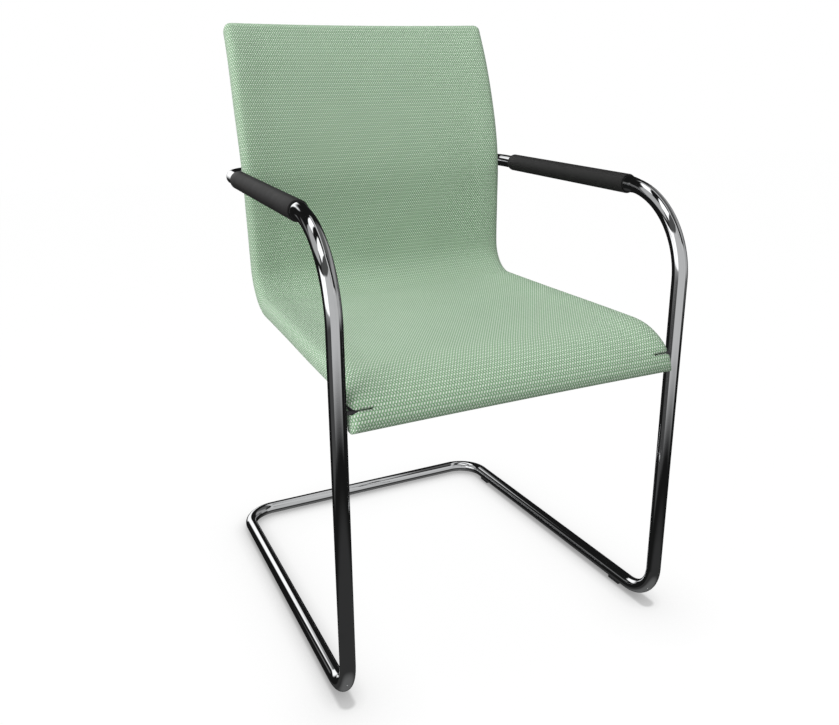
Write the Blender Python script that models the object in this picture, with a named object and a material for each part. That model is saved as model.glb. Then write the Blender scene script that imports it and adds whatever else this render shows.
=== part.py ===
"""Cantilever armchair: one bent tube frame, a covered seat-and-back shell and two arm sleeves.

Metres, +Z up. The chair faces -Y, X = 0 is its plane of symmetry and z = 0 is the floor. Left is -X, as seen from the front.
"""

import math

import bmesh
import bpy
import numpy as np
from mathutils import Matrix, Vector

# Fits
GAP = 0.0003
SMALL_STEP = 0.0006

# Bent tube
TUBE_RADIUS = 0.011
TUBE_WALL = 0.002
TUBE_SIDES = 16
HALF_SPACING = 0.2589
GLIDE_UNDER = 0.003
REAR_BAR_Y = 0.3242
FLOOR_CORNER_RADIUS = 0.055
FOOT_Y = -0.287
LEG_LEAN = math.radians(4.0)
FOOT_RADIUS = 0.061
ELBOW_RADIUS = 0.122
ARM_Y = -0.063
ARM_Z = 0.6833
ARM_REAR_RADIUS = 0.050
BEHIND_FOOT_BEND = 0.007
SPIGOT_LENGTH = 0.120
SPIGOT_WALL = 0.0017

# Arm sleeves
SLEEVE_RADIUS = 0.0146
SLEEVE_LENGTH = 0.328
SLEEVE_FROM_BEND = 0.003
SLEEVE_CHAMFER = 0.0010

# Seat-and-back shell, as the side view of its front and top face
PANEL = 0.030
EDGE_ROUND = 0.012
RIM_ANGLES = (0, 30, 60)
TOP_CORNER = 0.012
NOSE_CORNER = 0.007
BACK_HEIGHTS = (0.545, 0.624, 0.690, 0.737, 0.773, 0.810, 0.890, 0.9530)
BACK_DEPTHS = (0.1495, 0.1464, 0.1439, 0.1475, 0.1536, 0.1621, 0.1840, 0.2082)
BEND_RADIUS = 0.0505
SEAT_SLOPE = math.radians(2.8)
NOSE_Y = -0.246
NOSE_Z = 0.4135
NOSE_DEPTH = 0.089
NOSE_HEIGHT = 0.064
NOSE_STRAIGHT = 0.0034

# Its distance from the tube's inner side and its sideways hollow, along it from the top of the back to the nose
SIDE_CLEARANCE_AT = (0.0, 0.15, 0.44, 0.50, 0.66, 0.80, 1.0)
SIDE_CLEARANCE = (0.0064, 0.0040, 0.0073, 0.0077, 0.0058, 0.0026, 0.0008)
HOLLOW_AT = (0.0, 0.28, 0.45, 0.56, 0.70, 0.86, 1.0)
HOLLOW = (0.021, 0.016, 0.011, 0.009, 0.009, 0.004, 0.003)

# Layers of the shell, from its front face
COVER = 0.001
FOAM = 0.014
PLY = 0.009
PLY_INSET = 0.0052
PAD_EASE = 0.0005
PLY_PAST_NOSE = 0.010

# Fixings under the seat's front edge
CROSSBAR_RADIUS = 0.0075
CROSSBAR_END_WIDTH = 0.022
CROSSBAR_END_THICK = 0.0036
SLIT_X = 0.2184
SLIT_Z = 0.4364
CLIP_X = 0.140
CLIP_WIDTH = 0.030
CLIP_THICK = 0.002
CLIP_TAIL = 0.062
SCREW_RADIUS = 0.002
SCREW_HEAD = 0.0038
SCREW_LENGTH = 0.0080

# Fixings behind the back
SADDLE_X = 0.100
SADDLE_LENGTH = 0.060
SADDLE_HEIGHT = 0.024
SADDLE_THICK = 0.008
SADDLE_CLEARANCE = 0.0010
BOLT_SPREAD = 0.015
BOLT_RADIUS = 0.003
BOLT_HEAD_RADIUS = 0.00525
BOLT_HEAD = 0.0033
NUT_RADIUS = 0.0042
NUT_FLANGE_RADIUS = 0.008
NUT_FLANGE = 0.0014
NUT_SUNK = 0.0015
NUT_LENGTH = 0.0060

# Glides
GLIDE_LENGTH = 0.026
GLIDE_WIDTH = 0.012
GLIDE_SIDE = 0.0014
PEG_RADIUS = 0.003
GLIDE_FROM_SPLIT = 0.024
GLIDE_FROM_CORNER = 0.020

RAIL_Z = GLIDE_UNDER + TUBE_RADIUS
INNER_SIDE = HALF_SPACING - TUBE_RADIUS

COLOURS = {
    "chrome_tube": ((0.62, 0.63, 0.64, 1.0), 1.0, 0.08),
    "knit_cover": ((0.43, 0.50, 0.40, 1.0), 0.0, 0.9),
    "foam": ((0.80, 0.77, 0.62, 1.0), 0.0, 0.95),
    "plywood": ((0.62, 0.46, 0.29, 1.0), 0.0, 0.6),
    "sleeve": ((0.035, 0.036, 0.038, 1.0), 0.0, 0.6),
    "dark_steel": ((0.05, 0.05, 0.055, 1.0), 1.0, 0.5),
    "zinc_steel": ((0.50, 0.50, 0.50, 1.0), 1.0, 0.35),
    "black_plastic": ((0.02, 0.02, 0.02, 1.0), 0.0, 0.5),
}


def clear_scene():
    for obj in list(bpy.data.objects):
        bpy.data.objects.remove(obj, do_unlink=True)


def material(slot):
    found = bpy.data.materials.get(slot)
    if found:
        return found
    made = bpy.data.materials.new(slot)
    made.use_nodes = True
    shader = made.node_tree.nodes["Principled BSDF"]
    colour, metallic, roughness = COLOURS[slot]
    shader.inputs["Base Color"].default_value = colour
    shader.inputs["Metallic"].default_value = metallic
    shader.inputs["Roughness"].default_value = roughness
    return made


def add_node(name, points, faces, slot=None, origin=(0.0, 0.0, 0.0), smooth=True):
    """A mesh object with outward faces. With no slot it is a hidden cutter."""
    mesh = bpy.data.meshes.new(name)
    shifted = [Vector(point) - Vector(origin) for point in points]
    mesh.from_pydata(shifted, [], faces)
    work = bmesh.new()
    work.from_mesh(mesh)
    bmesh.ops.remove_doubles(work, verts=work.verts, dist=1e-7)
    bmesh.ops.recalc_face_normals(work, faces=work.faces)
    work.to_mesh(mesh)
    work.free()
    if smooth:
        mesh.shade_smooth()
        mesh.set_sharp_from_angle(angle=math.radians(35))
    obj = bpy.data.objects.new(name, mesh)
    obj.location = origin
    bpy.context.scene.collection.objects.link(obj)
    if slot is None:
        obj.hide_render = True
        obj.display_type = "WIRE"
    else:
        mesh.materials.append(material(slot))
    return obj


def cut(obj, cutter, operation="DIFFERENCE"):
    boolean = obj.modifiers.new(f"{operation.lower()} {cutter.name}", "BOOLEAN")
    boolean.operation = operation
    boolean.solver = "EXACT"
    boolean.object = cutter


def ring(centre, across, up, radius, sides):
    turns = [math.tau * step / sides for step in range(sides)]
    return [centre + across * radius * math.cos(turn) + up * radius * math.sin(turn) for turn in turns]


def bridge(first, second, count):
    """Quads between two rings of the same number of points."""
    quads = []
    for step in range(count):
        after = (step + 1) % count
        quads.append((first + step, first + after, second + after, second + step))
    return quads


def rounded_path(corners, radii, turn_step=math.radians(9.0)):
    """Points and directions along straight lines joined by arcs."""
    points = [Vector(corners[0])]
    directions = [(Vector(corners[1]) - Vector(corners[0])).normalized()]
    for index in range(1, len(corners) - 1):
        corner = Vector(corners[index])
        coming = (corner - Vector(corners[index - 1])).normalized()
        going = (Vector(corners[index + 1]) - corner).normalized()
        turn = coming.angle(going)
        start = corner - coming * radii[index - 1] * math.tan(turn / 2)
        inward = (going - coming * coming.dot(going)).normalized()
        centre = start + inward * radii[index - 1]
        steps = max(2, round(turn / turn_step))
        for step in range(steps + 1):
            angle = turn * step / steps
            points.append(centre - inward * radii[index - 1] * math.cos(angle) + coming * radii[index - 1] * math.sin(angle))
            directions.append(coming * math.cos(angle) + inward * math.sin(angle))
    points.append(Vector(corners[-1]))
    directions.append((Vector(corners[-1]) - Vector(corners[-2])).normalized())
    return points, directions


def sweep(points, directions, radius, sides):
    """One ring of points at each place of a path, turned as little as can be."""
    across = directions[0].orthogonal().normalized()
    rings = []
    for index, (point, direction) in enumerate(zip(points, directions)):
        if index:
            across = directions[index - 1].rotation_difference(direction) @ across
        across = (across - direction * across.dot(direction)).normalized()
        rings.extend(ring(point, across, direction.cross(across), radius, sides))
    return rings


def pipe(name, path, radius, wall, slot, origin=(0.0, 0.0, 0.0), sides=TUBE_SIDES):
    """A hollow tube with open ends."""
    points, directions = path
    count = len(points)
    verts = sweep(points, directions, radius, sides) + sweep(points, directions, radius - wall, sides)
    inner = count * sides
    faces = []
    for index in range(count - 1):
        faces += bridge(index * sides, (index + 1) * sides, sides)
        faces += bridge(inner + index * sides, inner + (index + 1) * sides, sides)
    faces += bridge(0, inner, sides)
    faces += bridge((count - 1) * sides, inner + (count - 1) * sides, sides)
    return add_node(name, verts, faces, slot, origin)


def turned(name, profile, base, axis, slot=None, origin=(0.0, 0.0, 0.0), sides=12, hollow=False):
    """A turned piece: (radius, height) points round an axis from a base point."""
    axis = Vector(axis).normalized()
    across = axis.orthogonal().normalized()
    up = axis.cross(across)
    verts = []
    for radius, height in profile:
        verts.extend(ring(Vector(base) + axis * height, across, up, radius, sides))
    faces = []
    for index in range(len(profile) - 1):
        faces += bridge(index * sides, (index + 1) * sides, sides)
    last = (len(profile) - 1) * sides
    if hollow:
        faces += bridge(last, 0, sides)
    else:
        faces.append(tuple(range(sides)))
        faces.append(tuple(range(last, last + sides)))
    return add_node(name, verts, faces, slot, origin)


def rod(name, base, axis, length, radius, sides=12):
    """A hidden cylinder for a clearance hole."""
    return turned(name, [(radius, 0.0), (radius, length)], base, axis, sides=sides)


def block(name, corners, slot=None, origin=(0.0, 0.0, 0.0)):
    """Eight corners: four of one end in turn, then the same four of the other."""
    faces = [(0, 1, 2, 3), (7, 6, 5, 4), (0, 4, 5, 1), (1, 5, 6, 2), (2, 6, 7, 3), (3, 7, 4, 0)]
    return add_node(name, corners, faces, slot, origin, smooth=False)


def box(name, low, high, slot=None, origin=(0.0, 0.0, 0.0)):
    ends = []
    for z in (low[2], high[2]):
        ends += [(low[0], low[1], z), (high[0], low[1], z), (high[0], high[1], z), (low[0], high[1], z)]
    return block(name, ends, slot, origin)


def through(at, keys, values):
    """A smooth curve through the given values."""
    keys = np.asarray(keys, float)
    values = np.asarray(values, float)
    at = np.clip(np.asarray(at, float), keys[0], keys[-1])
    slopes = np.diff(values) / np.diff(keys)
    tangents = np.zeros(len(keys))
    tangents[1:-1] = (slopes[:-1] * np.diff(keys)[1:] + slopes[1:] * np.diff(keys)[:-1]) / (keys[2:] - keys[:-2])
    tangents[-1] = slopes[-1]
    span = np.clip(np.searchsorted(keys, at, side="right") - 1, 0, len(keys) - 2)
    width = keys[span + 1] - keys[span]
    part = (at - keys[span]) / width
    low = (1 + 2 * part) * (1 - part) ** 2 * values[span] + part * (1 - part) ** 2 * width * tangents[span]
    high = part**2 * (3 - 2 * part) * values[span + 1] + part**2 * (part - 1) * width * tangents[span + 1]
    return low + high


class Shell:
    """The seat-and-back panel: a middle line seen from the side, and offsets from it."""

    def __init__(self):
        heights = np.linspace(BACK_HEIGHTS[-1], BACK_HEIGHTS[0], 200)
        back = np.column_stack([through(heights, BACK_HEIGHTS, BACK_DEPTHS), heights])
        bend_centre = np.array([BACK_DEPTHS[0] - BEND_RADIUS, BACK_HEIGHTS[0]])
        turn = np.linspace(0, math.pi / 2 - SEAT_SLOPE, 60)[1:]
        bend = bend_centre + BEND_RADIUS * np.column_stack([np.cos(turn), -np.sin(turn)])
        nose_turn = math.atan(math.tan(SEAT_SLOPE) * NOSE_DEPTH / NOSE_HEIGHT)
        turn = np.linspace(nose_turn, math.pi / 2, 80)
        nose = np.column_stack([NOSE_Y - NOSE_DEPTH * np.sin(turn), NOSE_Z + NOSE_HEIGHT * np.cos(turn)])
        share = np.linspace(0, 1, 120)[1:-1, None]
        seat = bend[-1] * (1 - share) + nose[0] * share
        end = nose[-1] - [0, NOSE_STRAIGHT]
        face = np.concatenate([back, bend, seat, nose, [end]])
        along = np.gradient(face, axis=0)
        along /= np.linalg.norm(along, axis=1)[:, None]
        self.normals = np.column_stack([along[:, 1], -along[:, 0]])
        self.middle = face - self.normals * PANEL / 2
        steps = np.linalg.norm(np.diff(self.middle, axis=0), axis=1)
        self.at = np.concatenate([[0], np.cumsum(steps)])
        self.length = float(self.at[-1])
        counts = np.cumsum([len(back) - 1, len(bend), len(seat) + 1])
        self.bend_start, self.bend_end, self.nose_start = (float(self.at[count]) for count in counts)
        self.split_s = (self.bend_start + self.bend_end) / 2
        self.ply_end = self.nose_start + PLY_PAST_NOSE

    def half_width(self, s):
        return INNER_SIDE - through(s / self.length, SIDE_CLEARANCE_AT, SIDE_CLEARANCE)

    def hollow(self, s):
        return through(s / self.length, HOLLOW_AT, HOLLOW)

    def normal(self, s):
        found = np.array([np.interp(s, self.at, self.normals[:, 0]), np.interp(s, self.at, self.normals[:, 1])])
        return found / np.linalg.norm(found)

    def point(self, s, x, h):
        """x across, h out of the front face from the middle of the thickness."""
        normal = self.normal(s)
        share = min(abs(x) / float(self.half_width(s)), 1.0)
        sunk = float(self.hollow(s)) * (1 - share**2)
        sunk_normal = np.array([-1.0, 0.0]) if s < self.bend_start else normal
        y = np.interp(s, self.at, self.middle[:, 0]) + normal[0] * h - sunk_normal[0] * sunk
        z = np.interp(s, self.at, self.middle[:, 1]) + normal[1] * h - sunk_normal[1] * sunk
        return (float(x), float(y), float(z))

    def s_at_height(self, z):
        """Where the back's middle line is at this height."""
        back = self.at <= self.bend_start
        return float(np.interp(-z, -self.middle[back, 1], self.at[back]))

    def distance_in(self, s, x, inset):
        """How far a place is inside the outline, and the half-width of the outline there."""
        half = float(self.half_width(s)) - inset
        from_end = s - inset
        corner = TOP_CORNER - inset
        if s > self.length / 2:
            from_end = self.length - inset - s
            corner = NOSE_CORNER - inset
        corner = max(corner, 1e-4)
        if from_end < corner:
            half -= corner - math.sqrt(max(corner**2 - (corner - from_end) ** 2, 0.0))
        if x is None:
            return half
        side = float(self.half_width(s)) - inset - abs(x)
        if side < corner and from_end < corner:
            return corner - math.hypot(corner - side, corner - from_end)
        return min(side, from_end)

    def rows(self, inset=0.0, start=None, end=None, extra=(), angles=RIM_ANGLES):
        """Places along the shell, the same for every layer apart from the rounded ends."""
        rise = [EDGE_ROUND * (1 - math.cos(math.radians(angle))) for angle in angles]
        found = rise + [self.length - step for step in rise]
        found += list(np.linspace(EDGE_ROUND, self.bend_start, 9))
        if TOP_CORNER > EDGE_ROUND + 0.004:
            found += [TOP_CORNER]
        found += list(np.linspace(self.bend_start, self.bend_end, 7))
        found += list(np.linspace(self.bend_end, self.nose_start, 5))
        found += list(np.linspace(self.nose_start, self.length - EDGE_ROUND, 7))
        shared = (self.split_s, self.ply_end + GAP)
        found = [s for s in found if all(abs(s - other) > 0.003 for other in shared)]
        found = sorted(set(found) | set(shared))
        scale = (EDGE_ROUND - inset) / EDGE_ROUND
        mapped = []
        for s in found:
            if s < EDGE_ROUND:
                s = inset + s * scale
            elif s > self.length - EDGE_ROUND:
                s = self.length - inset - (self.length - s) * scale
            mapped.append(s)
        start = mapped[0] if start is None else start
        end = mapped[-1] if end is None else end
        inside = [s for s in mapped if start + 0.001 < s < end - 0.001]
        inside = [s for s in inside if all(abs(s - other) > 0.001 for other in extra)]
        return sorted(set(inside) | {start, end} | set(extra))

    def grid(self, inset, height, rows, angles=RIM_ANGLES, between=6):
        """Points of one face of a layer: height is a function of the place and its distance from the outline."""
        found = []
        for s in rows:
            half = self.distance_in(s, None, inset)
            round_in = EDGE_ROUND - inset
            steps = [round_in * (1 - math.cos(math.radians(angle))) for angle in angles]
            inside = np.linspace(-(half - round_in), half - round_in, between + 1)
            across = [-half + step for step in steps] + list(inside) + [half - step for step in reversed(steps)]
            row = []
            for x in across:
                inner = max(self.distance_in(s, x, inset), 0.0)
                row.append(self.point(s, x, height(s, inner)))
            found.append(row)
        return found

    def edge_ring(self, inset, height, rows):
        grid = self.grid(inset, lambda s, inner: height, rows)
        return [grid[i][j] for i, j in perimeter(len(grid), len(grid[0]))]


def rounded(inner, inset):
    """Half the thickness left at a distance from the outline, for a face this far inside the panel's."""
    radius = EDGE_ROUND - inset
    short = radius - min(inner, radius)
    return PANEL / 2 - EDGE_ROUND + math.sqrt(max(radius**2 - short**2, 0.0))


def perimeter(rows, columns):
    found = [(0, j) for j in range(columns)]
    found += [(i, columns - 1) for i in range(1, rows)]
    found += [(rows - 1, j) for j in range(columns - 2, -1, -1)]
    found += [(i, 0) for i in range(rows - 2, 0, -1)]
    return found


def layer(name, front, rear, rings, slot, origin):
    """A closed layer from two grids of points and any rings between their edges."""
    rows = len(front)
    columns = len(front[0])
    edge = perimeter(rows, columns)
    verts = [point for row in front for point in row] + [point for row in rear for point in row]
    second = rows * columns
    faces = []
    for i in range(rows - 1):
        for j in range(columns - 1):
            corner = i * columns + j
            near, far = (corner, corner + 1), (corner + columns, corner + columns + 1)
            halves = [(near[0], near[1], far[1]), (near[0], far[1], far[0])]
            if j >= columns // 2:
                halves = [(near[0], near[1], far[0]), (near[1], far[1], far[0])]
            for triangle in halves:
                faces.append(triangle)
                faces.append(tuple(second + index for index in reversed(triangle)))
    loops = [[i * columns + j for i, j in edge]]
    for points in rings:
        loops.append(list(range(len(verts), len(verts) + len(points))))
        verts.extend(points)
    loops.append([second + i * columns + j for i, j in edge])
    for first, after in zip(loops, loops[1:]):
        for step in range(len(edge)):
            turn = (step + 1) % len(edge)
            faces.append((first[step], first[turn], after[turn], after[step]))
    return add_node(name, verts, faces, slot, origin)


def build():
    clear_scene()
    shell = Shell()

    # Where the frame's lines meet
    back_s = shell.s_at_height(ARM_Z + (0.267) * math.tan(LEG_LEAN))
    saddle_face = shell.point(back_s, SADDLE_X, -PANEL / 2)
    bar_y = saddle_face[1] + SADDLE_THICK + TUBE_RADIUS
    bar_z = ARM_Z + (bar_y - ARM_Y) * math.tan(LEG_LEAN)
    lean = math.tan(LEG_LEAN)
    elbow_y = (FOOT_Y - lean * (ARM_Z - ARM_Y * lean - RAIL_Z)) / (1 + lean**2)
    elbow_z = ARM_Z + (elbow_y - ARM_Y) * lean
    foot_turn = math.pi / 2 - LEG_LEAN
    split_y = FOOT_Y + FOOT_RADIUS * math.tan(foot_turn / 2) + BEHIND_FOOT_BEND
    hinge = (0.0, split_y, RAIL_Z + TUBE_RADIUS)

    # Bent tube, in the pieces that the sprung stand-in joint needs
    base_path = rounded_path(
        [
            (-HALF_SPACING, split_y + GAP / 2, RAIL_Z),
            (-HALF_SPACING, REAR_BAR_Y, RAIL_Z),
            (HALF_SPACING, REAR_BAR_Y, RAIL_Z),
            (HALF_SPACING, split_y + GAP / 2, RAIL_Z),
        ],
        [FLOOR_CORNER_RADIUS, FLOOR_CORNER_RADIUS],
    )
    base_tube = pipe("base_tube", base_path, TUBE_RADIUS, TUBE_WALL, "chrome_tube")
    side_tubes = {}
    for side, sign in (("left", -1), ("right", 1)):
        corners = [
            (sign * HALF_SPACING, split_y - GAP / 2, RAIL_Z),
            (sign * HALF_SPACING, FOOT_Y, RAIL_Z),
            (sign * HALF_SPACING, elbow_y, elbow_z),
            (sign * HALF_SPACING, bar_y, bar_z),
            (sign * GAP / 2, bar_y, bar_z),
        ]
        path = rounded_path(corners, [FOOT_RADIUS, ELBOW_RADIUS, ARM_REAR_RADIUS])
        side_tubes[side] = pipe(f"{side}_side_tube", path, TUBE_RADIUS, TUBE_WALL, "chrome_tube", hinge)
    spigot_radius = TUBE_RADIUS - TUBE_WALL - GAP
    spigot_path = rounded_path([(-SPIGOT_LENGTH / 2, bar_y, bar_z), (SPIGOT_LENGTH / 2, bar_y, bar_z)], [])
    pipe("crossbar_spigot", spigot_path, spigot_radius, SPIGOT_WALL, "zinc_steel", hinge, sides=16)

    # Glides on the floor rails
    rail_end = REAR_BAR_Y - FLOOR_CORNER_RADIUS
    for end, centre_y in (("front", split_y + GLIDE_FROM_SPLIT), ("rear", rail_end - GLIDE_FROM_CORNER)):
        for side, sign in (("left", -1), ("right", 1)):
            centre_x = sign * HALF_SPACING
            glide = box(
                f"{side}_{end}_glide",
                (centre_x - GLIDE_WIDTH / 2, centre_y - GLIDE_LENGTH / 2, 0.0),
                (centre_x + GLIDE_WIDTH / 2, centre_y + GLIDE_LENGTH / 2, GLIDE_UNDER + GLIDE_SIDE),
                "black_plastic",
                (centre_x, centre_y, 0.0),
            )
            start = (centre_x, centre_y - GLIDE_LENGTH, RAIL_Z)
            tube_room = rod(f"{side}_{end}_glide_room", start, (0, 1, 0), 2 * GLIDE_LENGTH, TUBE_RADIUS + GAP, 32)
            cut(glide, tube_room)
            peg_base = (centre_x, centre_y, GLIDE_UNDER / 2)
            peg_length = GLIDE_UNDER / 2 + TUBE_WALL + 0.002
            peg = rod(f"{side}_{end}_glide_peg", peg_base, (0, 0, 1), peg_length, PEG_RADIUS)
            cut(glide, peg, "UNION")
            hole_base = (centre_x, centre_y, 0.0)
            hole = rod(f"{side}_{end}_glide_hole", hole_base, (0, 0, 1), RAIL_Z, PEG_RADIUS + GAP)
            cut(base_tube, hole)

    # Arm sleeves over the straight of each arm
    arm = Vector((0, math.cos(LEG_LEAN), math.sin(LEG_LEAN)))
    sleeve_start = Vector((0, elbow_y, elbow_z)) + arm * (ELBOW_RADIUS + SLEEVE_FROM_BEND)
    bore = TUBE_RADIUS + GAP
    for side, sign in (("left", -1), ("right", 1)):
        base = sleeve_start + Vector((sign * HALF_SPACING, 0, 0))
        profile = [
            (bore, 0.0),
            (SLEEVE_RADIUS - SLEEVE_CHAMFER, 0.0),
            (SLEEVE_RADIUS, SLEEVE_CHAMFER),
            (SLEEVE_RADIUS, SLEEVE_LENGTH - SLEEVE_CHAMFER),
            (SLEEVE_RADIUS - SLEEVE_CHAMFER, SLEEVE_LENGTH),
            (bore, SLEEVE_LENGTH),
        ]
        turned(f"{side}_arm_sleeve", profile, base, arm, "sleeve", hinge, sides=24, hollow=True)

    # Layers of the shell
    half = PANEL / 2
    foam_inset = COVER + GAP
    foam_under = half - foam_inset - FOAM
    ply_front = foam_under - GAP
    ply_rear = ply_front - PLY
    pad_front = ply_rear - GAP
    ply_end = shell.ply_end
    split_s = shell.split_s
    seam = half - EDGE_ROUND

    outer_rows = shell.rows()
    inner_rows = shell.rows(COVER)
    front_cover = layer(
        "front_cover",
        shell.grid(0.0, lambda s, inner: rounded(inner, 0.0), outer_rows),
        shell.grid(COVER, lambda s, inner: rounded(inner, COVER), inner_rows),
        [
            shell.edge_ring(0.0, -seam + GAP / 2, outer_rows),
            shell.edge_ring(COVER, -seam + GAP / 2, inner_rows),
        ],
        "knit_cover",
        hinge,
    )
    rear_cover = layer(
        "rear_cover",
        shell.grid(COVER, lambda s, inner: -max(rounded(inner, COVER), seam + GAP / 2), inner_rows),
        shell.grid(0.0, lambda s, inner: -max(rounded(inner, 0.0), seam + GAP / 2), outer_rows),
        [],
        "knit_cover",
        hinge,
    )
    back_rows = shell.rows(foam_inset, end=split_s - GAP / 2)
    layer(
        "back_foam",
        shell.grid(foam_inset, lambda s, inner: rounded(inner, foam_inset), back_rows),
        shell.grid(foam_inset, lambda s, inner: foam_under, back_rows),
        [],
        "foam",
        hinge,
    )
    seat_rows = shell.rows(foam_inset, start=split_s + GAP / 2, extra=(ply_end + GAP, ply_end + GAP + SMALL_STEP))
    seat_foam = layer(
        "seat_foam",
        shell.grid(foam_inset, lambda s, inner: rounded(inner, foam_inset), seat_rows),
        shell.grid(
            foam_inset,
            lambda s, inner: foam_under if s < ply_end + GAP + SMALL_STEP / 2 else -rounded(inner, foam_inset),
            seat_rows,
        ),
        [],
        "foam",
        hinge,
    )
    plain = (0,)
    ply_rows = shell.rows(PLY_INSET, end=ply_end, angles=plain)
    seat_shell = layer(
        "seat_shell",
        shell.grid(PLY_INSET, lambda s, inner: ply_front, ply_rows, plain),
        shell.grid(PLY_INSET, lambda s, inner: ply_rear, ply_rows, plain),
        [],
        "plywood",
        hinge,
    )
    deeper = PLY_INSET - foam_inset
    rear_padding = layer(
        "rear_padding",
        shell.grid(PLY_INSET, lambda s, inner: pad_front, ply_rows, plain),
        shell.grid(PLY_INSET, lambda s, inner: PAD_EASE - rounded(inner + deeper, foam_inset), ply_rows, plain),
        [],
        "foam",
        hinge,
    )

    # Front crossbar: a round bar with flattened ends that come out through the slits
    face_y = NOSE_Y - NOSE_DEPTH * math.sqrt(1 - ((SLIT_Z - NOSE_Z) / NOSE_HEIGHT) ** 2)
    tilt = math.atan2((SLIT_Z - NOSE_Z) / NOSE_HEIGHT**2, (NOSE_Y - face_y) / NOSE_DEPTH**2)
    crossbar_y = face_y + PANEL / 2 / math.cos(tilt)

    def crossbar(name, extra, slot, ends):
        stations = [
            (-ends, 1.0),
            (-SLIT_X, 1.0),
            (-SLIT_X + 0.014, 0.0),
            (SLIT_X - 0.014, 0.0),
            (SLIT_X, 1.0),
            (ends, 1.0),
        ]
        sides = 20
        verts = []
        for x, flat in stations:
            wide = CROSSBAR_RADIUS * (1 - flat) + CROSSBAR_END_WIDTH / 2 * flat + extra
            thick = CROSSBAR_RADIUS * (1 - flat) + CROSSBAR_END_THICK / 2 * flat + extra
            power = 1.0 - 0.75 * flat
            for step in range(sides):
                turn = math.tau * (step + 0.5) / sides
                across = math.copysign(abs(math.cos(turn)) ** power, math.cos(turn))
                up = math.copysign(abs(math.sin(turn)) ** power, math.sin(turn))
                verts.append((x, crossbar_y + wide * across, SLIT_Z + thick * up))
        faces = []
        for index in range(len(stations) - 1):
            faces += bridge(index * sides, (index + 1) * sides, sides)
        faces.append(tuple(range(sides)))
        last = (len(stations) - 1) * sides
        faces.append(tuple(range(last, last + sides)))
        return add_node(name, verts, faces, slot, hinge if slot else (0.0, 0.0, 0.0))

    front_crossbar = crossbar("front_crossbar", 0.0, "dark_steel", INNER_SIDE + 0.002)
    crossbar_room = crossbar("front_crossbar_room", GAP, None, INNER_SIDE + 0.010)
    cut(seat_foam, crossbar_room)
    for side, sign in (("left", -1), ("right", 1)):
        leg_room = rod(
            f"{side}_leg_room",
            (sign * HALF_SPACING, FOOT_Y, RAIL_Z),
            (0, -math.sin(LEG_LEAN), math.cos(LEG_LEAN)),
            ARM_Z,
            TUBE_RADIUS + GAP,
            48,
        )
        cut(front_crossbar, leg_room)
        slit = box(
            f"{side}_slit",
            (min(sign * SLIT_X, sign * HALF_SPACING), NOSE_Y - NOSE_DEPTH - 0.01, SLIT_Z - CROSSBAR_END_THICK / 2 - GAP),
            (
                max(sign * SLIT_X, sign * HALF_SPACING),
                crossbar_y + CROSSBAR_END_WIDTH / 2 + GAP,
                SLIT_Z + CROSSBAR_END_THICK / 2 + GAP,
            ),
        )
        for soft in (front_cover, seat_foam, rear_cover):
            cut(soft, slit)

    # Clips that hook the shell over the crossbar, each with two countersunk screws
    clip_room = ply_rear - GAP - float(shell.hollow(ply_end)) * (CLIP_WIDTH * CLIP_X / INNER_SIDE**2)

    def clip_line(thick):
        tail_s = ply_end - CLIP_TAIL
        middle_h = clip_room - CLIP_THICK / 2
        line = []
        for s in (tail_s, ply_end - CLIP_TAIL / 2, ply_end - 0.004):
            _, y, z = shell.point(s, CLIP_X, middle_h)
            line.append(Vector((y, z)))
        centre = Vector((crossbar_y, SLIT_Z))
        radius = CROSSBAR_RADIUS + GAP + CLIP_THICK / 2
        away = line[-1] - centre
        leave = math.atan2(away.y, away.x) + math.acos(radius / away.length)
        for step in range(9):
            turn = leave + (math.radians(205) - leave) * step / 8
            line.append(centre + Vector((math.cos(turn), math.sin(turn))) * radius)
        sides = []
        for index, point in enumerate(line):
            before = line[max(index - 1, 0)]
            after = line[min(index + 1, len(line) - 1)]
            along = (after - before).normalized()
            across = Vector((-along.y, along.x))
            if thick > CLIP_THICK and index in (0, len(line) - 1):
                point = point + along * GAP * (1 if index else -1)
            sides.append((point + across * thick / 2, point - across * thick / 2))
        return sides

    def clip(name, centre_x, thick, wide, slot):
        sides = clip_line(thick)
        count = len(sides)
        verts = []
        for x in (centre_x - wide / 2, centre_x + wide / 2):
            verts += [(x, upper.x, upper.y) for upper, lower in sides]
            verts += [(x, lower.x, lower.y) for upper, lower in sides]
        faces = []
        other = 2 * count
        for index in range(count - 1):
            near_quad = (index, index + 1, count + index + 1, count + index)
            faces.append(near_quad)
            faces.append(tuple(other + corner for corner in reversed(near_quad)))
            faces.append((index, other + index, other + index + 1, index + 1))
            faces.append((count + index, count + index + 1, other + count + index + 1, other + count + index))
        faces.append((0, count, other + count, other))
        faces.append((count - 1, other + count - 1, other + 2 * count - 1, 2 * count - 1))
        return add_node(name, verts, faces, slot, hinge if slot else (0.0, 0.0, 0.0))

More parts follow.
